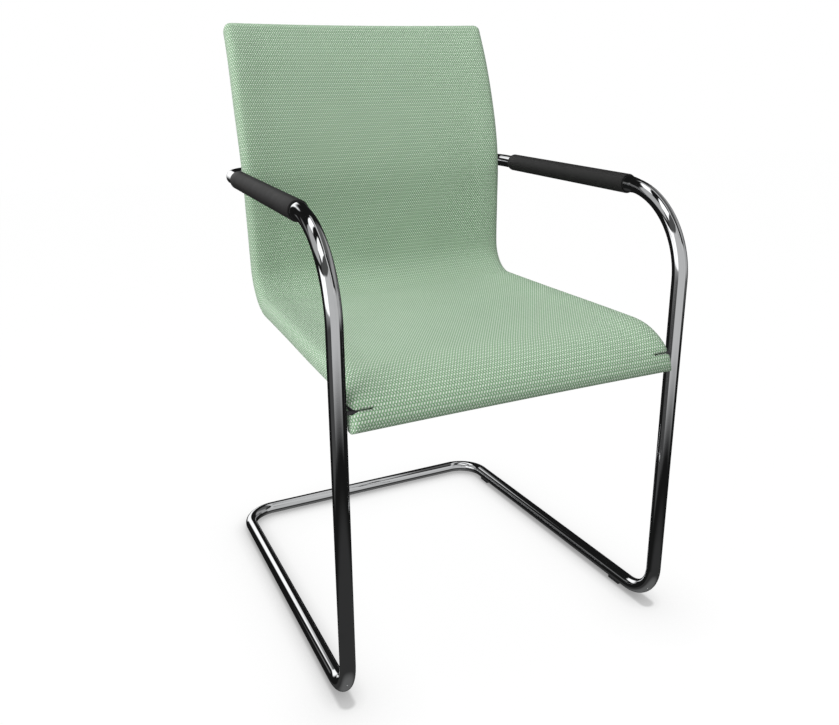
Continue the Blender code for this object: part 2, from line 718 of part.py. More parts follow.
    for side, sign in (("left", -1), ("right", 1)):
        seat_clip = clip(f"{side}_seat_clip", sign * CLIP_X, CLIP_THICK, CLIP_WIDTH, "dark_steel")
        room = clip(f"{side}_seat_clip_room", sign * CLIP_X, CLIP_THICK + 2 * GAP, CLIP_WIDTH + 2 * GAP, None)
        cut(seat_foam, room)
        cut(rear_padding, room)
        for place, offset in (("inner", -0.007), ("outer", 0.007)):
            screw_s = ply_end - CLIP_TAIL * (0.35 if place == "inner" else 0.7)
            x = sign * (CLIP_X + offset)
            normal = shell.normal(screw_s)
            _, y, z = shell.point(screw_s, CLIP_X, clip_room - CLIP_THICK)
            axis = (0.0, float(normal[0]), float(normal[1]))
            head = CLIP_THICK - 0.0001
            profile = [
                (SCREW_HEAD, 0.0001),
                (SCREW_RADIUS, head),
                (SCREW_RADIUS, head + SCREW_LENGTH - 0.001),
                (SCREW_RADIUS / 2, head + SCREW_LENGTH),
            ]
            turned(f"{side}_{place}_clip_screw", profile, (x, y, z), axis, "zinc_steel", hinge)
            room_profile = [
                (SCREW_HEAD + 0.0010, -0.0004),
                (SCREW_RADIUS + GAP, head + GAP),
                (SCREW_RADIUS + GAP, head + SCREW_LENGTH + GAP),
            ]
            screw_room = turned(f"{side}_{place}_clip_screw_room", room_profile, (x, y, z), axis)
            cut(seat_clip, screw_room)
            cut(seat_shell, screw_room)
            cut(rear_padding, screw_room)

    # Saddles, bolts and tee nuts behind the back
    saddle_rise = SADDLE_HEIGHT / 2
    for side, sign in (("left", -1), ("right", 1)):
        face = -PANEL / 2 - SADDLE_CLEARANCE
        near_x = sign * (SADDLE_X - SADDLE_LENGTH / 2)
        far_x = sign * (SADDLE_X + SADDLE_LENGTH / 2)
        ends = []
        for x in (near_x, far_x):
            upper = shell.point(back_s - saddle_rise, x, face)
            lower = shell.point(back_s + saddle_rise, x, face)
            ends += [upper, lower, (x, bar_y - 0.004, bar_z - saddle_rise), (x, bar_y - 0.004, bar_z + saddle_rise)]
        saddle = block(f"{side}_back_saddle", ends, "black_plastic", hinge)
        start = (near_x - sign * 0.01, bar_y, bar_z)
        bar_room = rod(f"{side}_saddle_room", start, (sign, 0, 0), SADDLE_LENGTH + 0.02, TUBE_RADIUS + GAP, 40)
        cut(saddle, bar_room)
        for place, offset in (("inner", -BOLT_SPREAD), ("outer", BOLT_SPREAD)):
            x = sign * (SADDLE_X + offset)
            ply_face = shell.point(back_s, x, ply_front)[1]
            head_y = bar_y + TUBE_RADIUS + GAP
            nut_front = ply_face + NUT_SUNK
            bolt_end = nut_front + NUT_FLANGE
            bolt_length = head_y - bolt_end
            profile = [
                (BOLT_HEAD_RADIUS * 0.42, BOLT_HEAD * 0.45),
                (BOLT_HEAD_RADIUS * 0.42, BOLT_HEAD),
                (BOLT_HEAD_RADIUS * 0.75, BOLT_HEAD),
                (BOLT_HEAD_RADIUS, BOLT_HEAD * 0.5),
                (BOLT_HEAD_RADIUS, 0.0),
                (BOLT_RADIUS, 0.0),
                (BOLT_RADIUS, -bolt_length),
            ]
            turned(f"{side}_{place}_back_bolt", profile, (x, head_y, bar_z), (0, 1, 0), "zinc_steel", hinge)
            hole = rod(
                f"{side}_{place}_bolt_hole", (x, ply_face, bar_z), (0, 1, 0), head_y - ply_face + 0.01, BOLT_RADIUS + GAP
            )
            for holed in (side_tubes[side], saddle, rear_cover, rear_padding, seat_shell):
                cut(holed, hole)
            nut = [
                (BOLT_RADIUS + GAP, 0.0),
                (NUT_FLANGE_RADIUS, 0.0),
                (NUT_FLANGE_RADIUS, NUT_FLANGE),
                (NUT_RADIUS, NUT_FLANGE),
                (NUT_RADIUS, NUT_LENGTH),
                (BOLT_RADIUS + GAP, NUT_LENGTH),
            ]
            nut_base = (x, nut_front, bar_z)
            turned(f"{side}_{place}_tee_nut", nut, nut_base, (0, 1, 0), "zinc_steel", hinge, hollow=True)
            recess = [
                (NUT_FLANGE_RADIUS + GAP, -0.004),
                (NUT_FLANGE_RADIUS + GAP, NUT_FLANGE + GAP),
                (NUT_RADIUS + GAP, NUT_FLANGE + GAP),
                (NUT_RADIUS + GAP, NUT_LENGTH + GAP),
            ]
            nut_room = turned(f"{side}_{place}_tee_nut_room", recess, nut_base, (0, 1, 0))
            cut(seat_shell, nut_room)


build()
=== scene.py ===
"""Cantilever armchair: what it looks like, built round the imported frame.

Metres, +Z up. The chair faces -Y and its left is -X, as in the frame. Run as a script, this loads the frame,
makes each piece through its own operator, and leaves the camera and the studio light of the photograph.
"""

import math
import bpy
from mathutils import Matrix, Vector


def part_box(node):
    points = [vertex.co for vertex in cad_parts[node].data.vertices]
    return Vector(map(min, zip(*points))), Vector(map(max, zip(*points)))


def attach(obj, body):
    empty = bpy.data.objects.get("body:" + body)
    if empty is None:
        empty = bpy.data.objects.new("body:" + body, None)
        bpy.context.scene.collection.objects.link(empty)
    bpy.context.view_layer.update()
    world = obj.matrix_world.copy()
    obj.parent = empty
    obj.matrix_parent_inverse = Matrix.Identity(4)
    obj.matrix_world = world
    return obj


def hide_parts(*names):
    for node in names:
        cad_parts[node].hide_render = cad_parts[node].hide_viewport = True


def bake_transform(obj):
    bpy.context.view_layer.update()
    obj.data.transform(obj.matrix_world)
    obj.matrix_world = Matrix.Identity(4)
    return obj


bl_info = {
    "name": "Cantilever armchair",
    "version": (1, 0, 0),
    "blender": (4, 5, 0),
    "location": "3D View > Sidebar > Armchair",
    "description": "An upholstered armchair on one bent chrome tube, with its studio",
    "category": "Object",
}

import bmesh
import bpy
import numpy as np
from mathutils import Matrix, Vector

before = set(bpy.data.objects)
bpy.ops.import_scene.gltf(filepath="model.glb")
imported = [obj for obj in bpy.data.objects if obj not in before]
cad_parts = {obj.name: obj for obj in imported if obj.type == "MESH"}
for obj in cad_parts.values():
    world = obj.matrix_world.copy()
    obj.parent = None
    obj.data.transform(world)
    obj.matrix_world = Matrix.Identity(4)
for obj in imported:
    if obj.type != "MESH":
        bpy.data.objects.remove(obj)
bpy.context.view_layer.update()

# Bodies of the frame
SEAT = "seat_and_sides"

# Bent tube, as in the frame
TUBE_RADIUS = 0.011
FLOOR_CORNER_RADIUS = 0.055
FOOT_Y = -0.287
LEG_LEAN = math.radians(4.0)
FOOT_RADIUS = 0.061
ELBOW_RADIUS = 0.122
ARM_Y = -0.063
ARM_Z = 0.6833
ARM_REAR_RADIUS = 0.050
JOINT_GAP = 0.0003
JOINT_CHAMFER = 0.0004

# The tube stands fuller where it comes out of a sleeve: by how much, and how far that fades on both sides
SLEEVE_FROM_BEND = 0.003
SLEEVE_SWELL = 0.0015
SWELL_OUTSIDE = 0.024
SWELL_INSIDE = 0.0035

# Sleeve: its room round the tube, its rounded lip, and the small steps at its mouth and in its bore
BORE_GAP = 0.0001
SLEEVE_LIP = 0.0007
SLEEVE_LIP_TURNS = (0, 22, 45, 67, 90)
SLEEVE_RINGS = 12
MOUTH_EDGE = 0.0002
BORE_END = 0.001

# Seat-and-back shell, as the side view of its front and top face
PANEL = 0.030
EDGE_ROUND = 0.012
TOP_CORNER = 0.012
NOSE_CORNER = 0.0020
BACK_HEIGHTS = (0.545, 0.624, 0.690, 0.737, 0.773, 0.810, 0.890, 0.9530)
BACK_DEPTHS = (0.1495, 0.1464, 0.1439, 0.1475, 0.1536, 0.1621, 0.1840, 0.2082)
BEND_RADIUS = 0.0505
SEAT_SLOPE = math.radians(2.8)
NOSE_Y = -0.246
NOSE_Z = 0.4135
NOSE_DEPTH = 0.089
NOSE_HEIGHT = 0.064
NOSE_STRAIGHT = 0.0034
SIDE_CLEARANCE_AT = (0.0, 0.15, 0.44, 0.50, 0.66, 0.80, 1.0)
SIDE_CLEARANCE = (0.0064, 0.0040, 0.0073, 0.0077, 0.0058, 0.0026, 0.0008)
HOLLOW_AT = (0.0, 0.28, 0.45, 0.56, 0.70, 0.86, 1.0)
HOLLOW = (0.021, 0.016, 0.011, 0.009, 0.009, 0.004, 0.003)

# Slit at each front corner of the cover, with the crossbar's flat end in it
SLIT_X = 0.2170
SLIT_Z = 0.4364
BAR_END_THICK = 0.0036

# Where the floor and the rails are, read from the frame
base_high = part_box("base_tube")[1]
side_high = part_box("left_side_tube")[1]
HALF_SPACING = base_high.x - TUBE_RADIUS
INNER_SIDE = HALF_SPACING - TUBE_RADIUS
RAIL_Z = base_high.z - TUBE_RADIUS
REAR_BAR_Y = base_high.y - TUBE_RADIUS
BACK_BAR_Y = side_high.y - TUBE_RADIUS
BACK_BAR_Z = ARM_Z + (BACK_BAR_Y - ARM_Y) * math.tan(LEG_LEAN)
LEAN = math.tan(LEG_LEAN)
ELBOW_Y = (FOOT_Y - LEAN * (ARM_Z - ARM_Y * LEAN - RAIL_Z)) / (1 + LEAN**2)
ELBOW_Z = ARM_Z + (ELBOW_Y - ARM_Y) * LEAN

# Along the arm to the back, down the leg, and where the straight of the arm starts behind the upper bend
ALONG_ARM = Vector((0, math.cos(LEG_LEAN), math.sin(LEG_LEAN)))
DOWN_LEG = Vector((0, math.sin(LEG_LEAN), -math.cos(LEG_LEAN)))
ARM_START = Vector((0, ELBOW_Y, ELBOW_Z)) + ALONG_ARM * ELBOW_RADIUS


class ChairSizes(bpy.types.PropertyGroup):
    """Sizes of the looks that a user may change. The frame's own sizes stay as they are."""

    tube_sides: bpy.props.IntProperty(
        name="Tube sides", description="Faces round the tube", default=48, min=12
    )
    tube_turn: bpy.props.FloatProperty(
        name="Bend step", description="Turn between two rings of it", default=math.radians(3), subtype="ANGLE"
    )
    cover_step: bpy.props.FloatProperty(
        name="Cover step", description="Distance between the cover's rows", default=0.0065, subtype="DISTANCE"
    )
    edge_roll: bpy.props.FloatProperty(
        name="Edge roll", description="Height of the padding's side roll", default=0.0011, subtype="DISTANCE"
    )
    stitch_across: bpy.props.FloatProperty(
        name="Stitch width", description="Pitch of the stitches across", default=0.00410, subtype="DISTANCE"
    )
    stitch_along: bpy.props.FloatProperty(
        name="Stitch row", description="Pitch of the knit's rows", default=0.00320, subtype="DISTANCE"
    )
    sleeve_length: bpy.props.FloatProperty(
        name="Sleeve length", description="Length of an arm sleeve", default=0.328, subtype="DISTANCE"
    )
    sleeve_radius: bpy.props.FloatProperty(
        name="Sleeve radius", description="Outer radius of an arm sleeve", default=0.0146, subtype="DISTANCE"
    )


class ChairColours(bpy.types.PropertyGroup):
    """Colours of the finishes, as linear values."""

    knit_light: bpy.props.FloatVectorProperty(
        name="Knit, raised stitch", description="Pale yarn", default=(0.76, 0.81, 0.74), subtype="COLOR"
    )
    knit_ground: bpy.props.FloatVectorProperty(
        name="Knit, ground", description="Green yarn", default=(0.39, 0.52, 0.38), subtype="COLOR"
    )
    knit_shade: bpy.props.FloatVectorProperty(
        name="Knit, gaps", description="Between the stitches", default=(0.175, 0.37, 0.18), subtype="COLOR"
    )
    chrome: bpy.props.FloatVectorProperty(
        name="Chrome", description="Plated tube", default=(0.78, 0.79, 0.80), subtype="COLOR"
    )
    sleeve: bpy.props.FloatVectorProperty(
        name="Sleeve", description="Dark grey arm sleeves", default=(0.0138, 0.0134, 0.0134), subtype="COLOR"
    )
    dark_steel: bpy.props.FloatVectorProperty(
        name="Dark steel", description="Crossbar and clips", default=(0.045, 0.045, 0.048), subtype="COLOR"
    )
    zinc: bpy.props.FloatVectorProperty(
        name="Zinc", description="Plated screws, nuts and spigot", default=(0.55, 0.56, 0.58), subtype="COLOR"
    )
    black_plastic: bpy.props.FloatVectorProperty(
        name="Black plastic", description="Saddles and glides", default=(0.018, 0.018, 0.019), subtype="COLOR"
    )
    plywood: bpy.props.FloatVectorProperty(
        name="Plywood", description="Beech veneer", default=(0.52, 0.36, 0.21), subtype="COLOR"
    )


class StudioSettings(bpy.types.PropertyGroup):
    """Camera and light."""

    camera_place: bpy.props.FloatVectorProperty(
        name="Camera", description="Where the lens is", default=(-0.54507, -1.19586, 0.77593), subtype="XYZ"
    )
    camera_yaw: bpy.props.FloatProperty(
        name="Yaw", description="Turn to the right of +Y", default=0.41197, subtype="ANGLE"
    )
    camera_pitch: bpy.props.FloatProperty(
        name="Pitch", description="Tilt below the horizon", default=0.23228, subtype="ANGLE"
    )
    camera_roll: bpy.props.FloatProperty(
        name="Roll", description="Turn about the line of sight", default=0.04068, subtype="ANGLE"
    )
    lens: bpy.props.FloatProperty(name="Lens", description="Focal length in millimetres", default=34.54)
    shift_x: bpy.props.FloatProperty(name="Shift X", description="Lens shift across", default=0.0138)
    shift_y: bpy.props.FloatProperty(name="Shift Y", description="Lens shift up", default=-0.0587)
    room_light: bpy.props.FloatProperty(
        name="Room light", description="Light from all round on matt surfaces", default=0.603
    )
    top_power: bpy.props.FloatProperty(
        name="Top", description="Soft light overhead", default=31.4, unit="POWER"
    )
    side_power: bpy.props.FloatProperty(
        name="Side", description="Soft light from the left", default=95.0, unit="POWER"
    )


# Shader nodes


class NodeSketch:
    """Adds nodes to a tree and links them in the same call."""

    def __init__(self, tree):
        self.tree = tree

    def node(self, kind, settings=None, inputs=None):
        made = self.tree.nodes.new(kind)
        for name, value in (settings or {}).items():
            setattr(made, name, value)
        for name, value in (inputs or {}).items():
            self.feed(made.inputs[name], value)
        return made

    def feed(self, socket, value):
        if isinstance(value, bpy.types.NodeSocket):
            self.tree.links.new(value, socket)
        elif isinstance(value, (tuple, list)) and len(socket.default_value) == 4 and len(value) == 3:
            socket.default_value = (*value, 1.0)
        else:
            socket.default_value = value

    def math(self, operation, first, second=0.0, third=0.0):
        values = {0: first, 1: second, 2: third}
        return self.node("ShaderNodeMath", {"operation": operation}, values).outputs[0]

    def step_between(self, value, low, high, to_low=0.0, to_high=1.0):
        values = {"Value": value, "From Min": low, "From Max": high, "To Min": to_low, "To Max": to_high}
        return self.node("ShaderNodeMapRange", {"interpolation_type": "SMOOTHSTEP"}, values).outputs[0]

    def mix(self, share, first, second, blend="MIX"):
        values = {"Factor": share, 6: first, 7: second}
        return self.node("ShaderNodeMix", {"data_type": "RGBA", "blend_type": blend}, values).outputs[2]

    def noise(self, vector, scale, detail=2.0, roughness=0.5):
        values = {"Vector": vector, "Scale": scale, "Detail": detail, "Roughness": roughness}
        return self.node("ShaderNodeTexNoise", {"noise_dimensions": "3D"}, values).outputs[0]

    def scaled(self, vector, scale):
        return self.node("ShaderNodeVectorMath", {"operation": "MULTIPLY"}, {0: vector, 1: scale}).outputs[0]

    def split(self, vector):
        return self.node("ShaderNodeSeparateXYZ", None, {0: vector}).outputs

    def times(self, first, second):
        return self.math("MULTIPLY", first, second)

    def sloped(self, value, slope, start):
        return self.math("MULTIPLY_ADD", value, slope, start)

    def most(self, first, second):
        return self.math("MAXIMUM", first, second)

    def between(self, value, low, high, soft):
        """One from low to high, with a soft edge at both."""
        above = self.step_between(value, low - soft, low + soft)
        return self.times(above, self.step_between(value, high + soft, high - soft))

    def object_place(self):
        return self.node("ShaderNodeTexCoord").outputs["Object"]

    def bump(self, shader, height, strength, distance):
        values = {"Strength": strength, "Distance": distance, "Height": height}
        self.feed(shader.inputs["Normal"], self.node("ShaderNodeBump", None, values).outputs[0])


def new_group(name, inputs, outputs):
    """A shader node group with its named sockets: (sketch, input node, output node)."""
    tree = bpy.data.node_groups.new(name, "ShaderNodeTree")
    for label, kind, default in inputs:
        socket = tree.interface.new_socket(name=label, in_out="INPUT", socket_type=kind)
        if default is not None:
            socket.default_value = default
    for label, kind in outputs:
        tree.interface.new_socket(name=label, in_out="OUTPUT", socket_type=kind)
    sketch = NodeSketch(tree)
    return sketch, tree.nodes.new("NodeGroupInput"), tree.nodes.new("NodeGroupOutput")


# Stitch pattern: how much a stitch fades towards its row's edges, and from and to where each mask rises
STITCH_FADE = 0.80
RAISED_RANGE = (0.0, 0.85)
GAP_RANGE = (-0.02, -0.80)
GROOVE_RANGE = (0.18, 0.95)


def knit_group():
    """Half-offset rows of slanted stitches on a cloth map.

    Raised is the pale yarn that stands up, Gap the hollow between two stitches, Row every other row, and
    Groove the furrow between two rows.
    """
    found = bpy.data.node_groups.get("knit stitches")
    if found:
        return found
    sketch, given, out = new_group(
        "knit stitches",
        [
            ("Cloth", "NodeSocketVector", None),
            ("Across", "NodeSocketFloat", 0.004),
            ("Along", "NodeSocketFloat", 0.003),
            ("Slant", "NodeSocketFloat", 0.25),
        ],
        [(name, "NodeSocketFloat") for name in ("Raised", "Gap", "Row", "Groove")],
    )
    cloth = sketch.split(given.outputs["Cloth"])
    across = sketch.math("DIVIDE", cloth[0], given.outputs["Across"])
    along = sketch.math("DIVIDE", cloth[1], given.outputs["Along"])
    row = sketch.math("FLOOR", along)
    odd = sketch.math("FLOORED_MODULO", row, 2.0)
    height = sketch.math("SUBTRACT", sketch.math("FRACT", along), 0.5)
    lean = sketch.times(sketch.sloped(odd, -2.0, 1.0), given.outputs["Slant"])
    shifted = sketch.sloped(odd, 0.5, across)
    slanted = sketch.sloped(height, lean, shifted)
    wave = sketch.math("COSINE", sketch.times(slanted, math.tau))
    near_row = sketch.math("POWER", sketch.times(height, 2.0), 2.0)
    stitch = sketch.times(wave, sketch.sloped(near_row, -STITCH_FADE, 1.0))
    sketch.feed(out.inputs["Raised"], sketch.step_between(stitch, *RAISED_RANGE))
    sketch.feed(out.inputs["Gap"], sketch.step_between(stitch, *GAP_RANGE))
    sketch.feed(out.inputs["Row"], odd)
    sketch.feed(out.inputs["Groove"], sketch.step_between(near_row, *GROOVE_RANGE))
    return sketch.tree


def grain_group():
    """Fine pebbling and soft blotches on moulded and coated pieces."""
    found = bpy.data.node_groups.get("fine grain")
    if found:
        return found
    sketch, given, out = new_group(
        "fine grain",
        [("Size", "NodeSocketFloat", 0.0006), ("Blotch", "NodeSocketFloat", 0.02)],
        [("Pebbles", "NodeSocketFloat"), ("Blotches", "NodeSocketFloat")],
    )
    place = sketch.object_place()
    fine = sketch.noise(place, sketch.math("DIVIDE", 1.0, given.outputs["Size"]), 3.0, 0.6)
    broad = sketch.noise(place, sketch.math("DIVIDE", 1.0, given.outputs["Blotch"]), 2.0, 0.5)
    sketch.feed(out.inputs["Pebbles"], fine)
    sketch.feed(out.inputs["Blotches"], broad)
    return sketch.tree


def new_material(slot):
    """An empty material: (material, sketch, Principled node)."""
    made = bpy.data.materials.new(slot)
    made.use_nodes = True
    tree = made.node_tree
    tree.nodes.clear()
    shader = tree.nodes.new("ShaderNodeBsdfPrincipled")
    out = tree.nodes.new("ShaderNodeOutputMaterial")
    tree.links.new(shader.outputs[0], out.inputs["Surface"])
    return made, NodeSketch(tree), shader


# Knit finish: slant of a stitch, scales of the yarn's and the cloth's unevenness, shade of a groove, relief
KNIT_SLANT = 0.30
YARN_SCALE = (9000.0, 2600.0, 1.0)
SHED_SCALE = 14.0
GROOVE_SHADE = 0.80
YARN_RELIEF = 0.25
KNIT_RELIEF = 0.0006

# How its tones and its roughness follow every other row, the yarn and the cloth: slope and start of each
OTHER_ROW_PALE = (-0.16, 1.0)
OTHER_ROW_DEEP = (0.15, 0.85)
OTHER_ROW_TONE = (-0.12, 1.07)
YARN_TONE = (0.14, 0.90)
SHED_TONE = (0.08, 0.97)
YARN_ROUGHNESS = (0.10, 0.80)


def knit_material(sizes, colours):
    """Pale green upholstery knit: raised stitches on a green ground, and painted shade in the slits."""
    made, sketch, shader = new_material("knit")
    cloth = sketch.node("ShaderNodeUVMap", {"uv_map": "cloth"}).outputs["UV"]
    stitches = sketch.node(
        "ShaderNodeGroup",
        {"node_tree": knit_group()},
        {"Cloth": cloth, "Across": sizes.stitch_across, "Along": sizes.stitch_along, "Slant": KNIT_SLANT},
    )
    raised = stitches.outputs["Raised"]
    gap = stitches.outputs["Gap"]
    row = stitches.outputs["Row"]
    groove = stitches.outputs["Groove"]
    yarn = sketch.noise(sketch.scaled(cloth, YARN_SCALE), 1.0, 2.0, 0.6)
    shed = sketch.noise(cloth, SHED_SCALE, 2.0, 0.5)
    pale = sketch.times(raised, sketch.sloped(row, *OTHER_ROW_PALE))
    deep = sketch.times(gap, sketch.sloped(row, *OTHER_ROW_DEEP))
    deep = sketch.most(deep, sketch.times(groove, GROOVE_SHADE))
    colour = sketch.mix(pale, tuple(colours.knit_ground), tuple(colours.knit_light))
    colour = sketch.mix(deep, colour, tuple(colours.knit_shade))
    tone = sketch.sloped(yarn, *YARN_TONE)
    tone = sketch.times(tone, sketch.sloped(shed, *SHED_TONE))
    tone = sketch.times(tone, sketch.sloped(row, *OTHER_ROW_TONE))
    toned = sketch.mix(1.0, colour, tone, "MULTIPLY")
    # Painted shade in the slit's pocket and on its lips: a share per place that mixes in the crossbar's dark
    # steel colour
    lining = sketch.node("ShaderNodeAttribute", {"attribute_name": "lining"}).outputs["Fac"]
    sketch.feed(shader.inputs["Base Color"], sketch.mix(lining, toned, tuple(colours.dark_steel)))
    sketch.feed(shader.inputs["Roughness"], sketch.sloped(yarn, *YARN_ROUGHNESS))
    shader.inputs["Specular IOR Level"].default_value = 0.18
    shader.inputs["Sheen Weight"].default_value = 0.12
    shader.inputs["Sheen Roughness"].default_value = 0.6
    height = sketch.sloped(yarn, YARN_RELIEF, sketch.math("SUBTRACT", raised, gap))
    sketch.bump(shader, sketch.math("SUBTRACT", height, groove), 0.60, KNIT_RELIEF)
    return made


# Chrome finish: scales of the polishing marks and of the dull patches, from and to where a patch comes in,
# its tone, and the roughness that a patch adds and that the marks give, as a slope and a start
MARK_SCALE = (900.0, 90.0, 900.0)
PATCH_SCALE = 22.0
PATCH_RANGE = (0.52, 0.72)
PATCH_TONE = 0.94
PATCH_ROUGHNESS = 0.02
MARK_ROUGHNESS = (0.020, 0.022)


def chrome_material(colours):
    """Bright plating with faint polishing marks and a few dull patches."""
    made, sketch, shader = new_material("chrome")
    place = sketch.object_place()
    marks = sketch.noise(sketch.scaled(place, MARK_SCALE), 1.0, 3.0, 0.65)
    patches = sketch.noise(place, PATCH_SCALE, 3.0, 0.55)
    worn = sketch.step_between(patches, *PATCH_RANGE)
    dull = tuple(value * PATCH_TONE for value in colours.chrome)
    colour = sketch.mix(worn, tuple(colours.chrome), dull)
    rough = sketch.sloped(worn, PATCH_ROUGHNESS, sketch.sloped(marks, *MARK_ROUGHNESS))
    sketch.feed(shader.inputs["Base Color"], colour)
    sketch.feed(shader.inputs["Roughness"], rough)
    shader.inputs["Metallic"].default_value = 1.0
    sketch.bump(shader, marks, 0.04, 0.0002)
    return made


# Grained finishes: colour, roughness, grain and its depth, metal, and how far the blotches stray
GRAINED = {
    "sleeve rubber": ("sleeve", 0.62, 0.0009, 0.00012, 0.0, 1.35),
    "coated steel": ("dark_steel", 0.45, 0.0007, 0.00006, 0.0, 1.35),
    "zinc plate": ("zinc", 0.30, 0.0004, 0.00003, 1.0, 1.1),
    "moulded plastic": ("black_plastic", 0.50, 0.0005, 0.00008, 0.0, 1.35),
}
BLOTCH_SIZE = 0.018
BLOTCH_ROUGHNESS = 0.14


def grained_material(slot, colours):
    """Moulded plastic, coated steel or plated steel, with its grain and soft blotches."""
    made, sketch, shader = new_material(slot)
    colour_name, roughness, grain, depth, metallic, lighter = GRAINED[slot]
    colour = getattr(colours, colour_name)
    grain_sizes = {"Size": grain, "Blotch": BLOTCH_SIZE}
    group = sketch.node("ShaderNodeGroup", {"node_tree": grain_group()}, grain_sizes)
    pebbles = group.outputs["Pebbles"]
    blotches = group.outputs["Blotches"]
    share = sketch.sloped(pebbles, 0.5, sketch.times(blotches, 0.5))
    dark = tuple(value / lighter for value in colour)
    pale = tuple(value * lighter for value in colour)
    sketch.feed(shader.inputs["Base Color"], sketch.mix(share, dark, pale))
    smoothest = roughness - BLOTCH_ROUGHNESS / 2
    sketch.feed(shader.inputs["Roughness"], sketch.sloped(blotches, BLOTCH_ROUGHNESS, smoothest))
    shader.inputs["Metallic"].default_value = metallic
    sketch.bump(shader, pebbles, 0.5, depth)
    return made


# Plywood finish: scales of the plies and of the pores, from and to where each comes in, how dark each is, the
# most that a pore shows, and the roughness that the plies give, as a slope and a start
PLY_SCALE = (30.0, 600.0, 600.0)
PORE_SCALE = (120.0, 3500.0, 3500.0)
PLY_RANGE = (0.35, 0.75)
PORE_RANGE = (0.60, 0.80)
PLY_DARK = 0.72
PORE_DARK = 0.4
PORE_SHARE = 0.6
PLY_ROUGHNESS = (0.15, 0.48)


def plywood_material(colours):
    """Beech plies: stripes through the thickness and fine pores along the grain."""
    made, sketch, shader = new_material("plywood")
    place = sketch.object_place()
    grain = sketch.noise(sketch.scaled(place, PLY_SCALE), 1.0, 4.0, 0.6)
    pores = sketch.noise(sketch.scaled(place, PORE_SCALE), 1.0, 2.0, 0.5)
    dark = tuple(value * PLY_DARK for value in colours.plywood)
    darkest = tuple(value * PORE_DARK for value in dark)
    colour = sketch.mix(sketch.step_between(grain, *PLY_RANGE), tuple(colours.plywood), dark)
    colour = sketch.mix(sketch.step_between(pores, *PORE_RANGE, 0.0, PORE_SHARE), colour, darkest)
    sketch.feed(shader.inputs["Base Color"], colour)
    sketch.feed(shader.inputs["Roughness"], sketch.sloped(grain, *PLY_ROUGHNESS))
    sketch.bump(shader, pores, 0.3, 0.0002)
    return made


def finish_material(slot):
    """The finish of that name, made once."""
    found = bpy.data.materials.get(slot)
    if found:
        return found
    colours = bpy.context.scene.chair_colours
    if slot == "knit":
        return knit_material(bpy.context.scene.chair_sizes, colours)
    if slot == "chrome":
        return chrome_material(colours)
    if slot in GRAINED:
        return grained_material(slot, colours)
    return plywood_material(colours)


# Pieces


def finished_piece(name, work, material, body=SEAT, sharp=math.radians(35)):
    """Closes up a bmesh, gives it its finish and sets it on its body."""
    bmesh.ops.remove_doubles(work, verts=work.verts, dist=1e-6)
    bmesh.ops.recalc_face_normals(work, faces=work.faces)
    mesh = bpy.data.meshes.new(name)
    work.to_mesh(mesh)
    work.free()
    mesh.shade_smooth()
    mesh.set_sharp_from_angle(angle=sharp)
    mesh.materials.append(finish_material(material))
    obj = bpy.data.objects.new(name, mesh)
    bpy.context.scene.collection.objects.link(obj)
    if body:
        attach(obj, body)
    return obj


def facing(direction):
    """A turn that takes +Z to a direction."""
    return Vector((0, 0, 1)).rotation_difference(Vector(direction)).to_matrix().to_4x4()


def open_ring(work, centre, direction, radius, sides):
    """The edges of a new circle across a direction."""
    place = Matrix.Translation(centre) @ facing(direction)
    made = bmesh.ops.create_circle(work, cap_ends=False, segments=sides, radius=radius, matrix=place)
    verts = set(made["verts"])
    return [edge for edge in work.edges if edge.verts[0] in verts and edge.verts[1] in verts]


def drawn_out(work, edges, move):
    """Extrudes a ring of edges straight, and gives the new ring."""
    made = bmesh.ops.extrude_edge_only(work, edges=edges)["geom"]
    verts = [item for item in made if isinstance(item, bmesh.types.BMVert)]
    bmesh.ops.translate(work, verts=verts, vec=move)
    new = set(verts)
    return [item for item in made if isinstance(item, bmesh.types.BMEdge) and set(item.verts) <= new]


def drawn_in(work, edges, centre, share, move=(0.0, 0.0, 0.0)):
    """Extrudes a ring of edges towards its centre, or away from it."""
    ring = drawn_out(work, edges, move)
    verts = list({vert for edge in ring for vert in edge.verts})
    middle = Vector(centre) + Vector(move)
    for vert in verts:
        vert.co = middle + (vert.co - middle) * share
    return ring


def turned_bend(work, edges, centre, axis, angle, steps):
    """Spins a ring of edges round a bend, and gives the last ring."""
    geom = list({vert for edge in edges for vert in edge.verts}) + list(edges)
    made = bmesh.ops.spin(work, geom=geom, cent=centre, axis=axis, angle=angle, steps=steps, use_merge=False)
    return [item for item in made["geom_last"] if isinstance(item, bmesh.types.BMEdge)]


def bent_tube(work, corners, radii, radius, sides, turn_step):
    """A tube along straight lines with a bend at each inner corner: its first and last ring."""
    corners = [Vector(corner) for corner in corners]
    first = open_ring(work, corners[0], corners[1] - corners[0], radius, sides)
    ring = first
    here = corners[0]
    for index, bend_radius in enumerate(radii):
        corner = corners[index + 1]
        coming = (corner - here).normalized()
        going = (corners[index + 2] - corner).normalized()
        turn = coming.angle(going)
        start = corner - coming * bend_radius * math.tan(turn / 2)
        inward = (going - coming * coming.dot(going)).normalized()
        ring = drawn_out(work, ring, start - here)
        steps = max(4, round(turn / turn_step))
        axis = coming.cross(going).normalized()
        ring = turned_bend(work, ring, start + inward * bend_radius, axis, turn, steps)
        here = corner + going * bend_radius * math.tan(turn / 2)
    ring = drawn_out(work, ring, corners[-1] - here)
    return first, ring


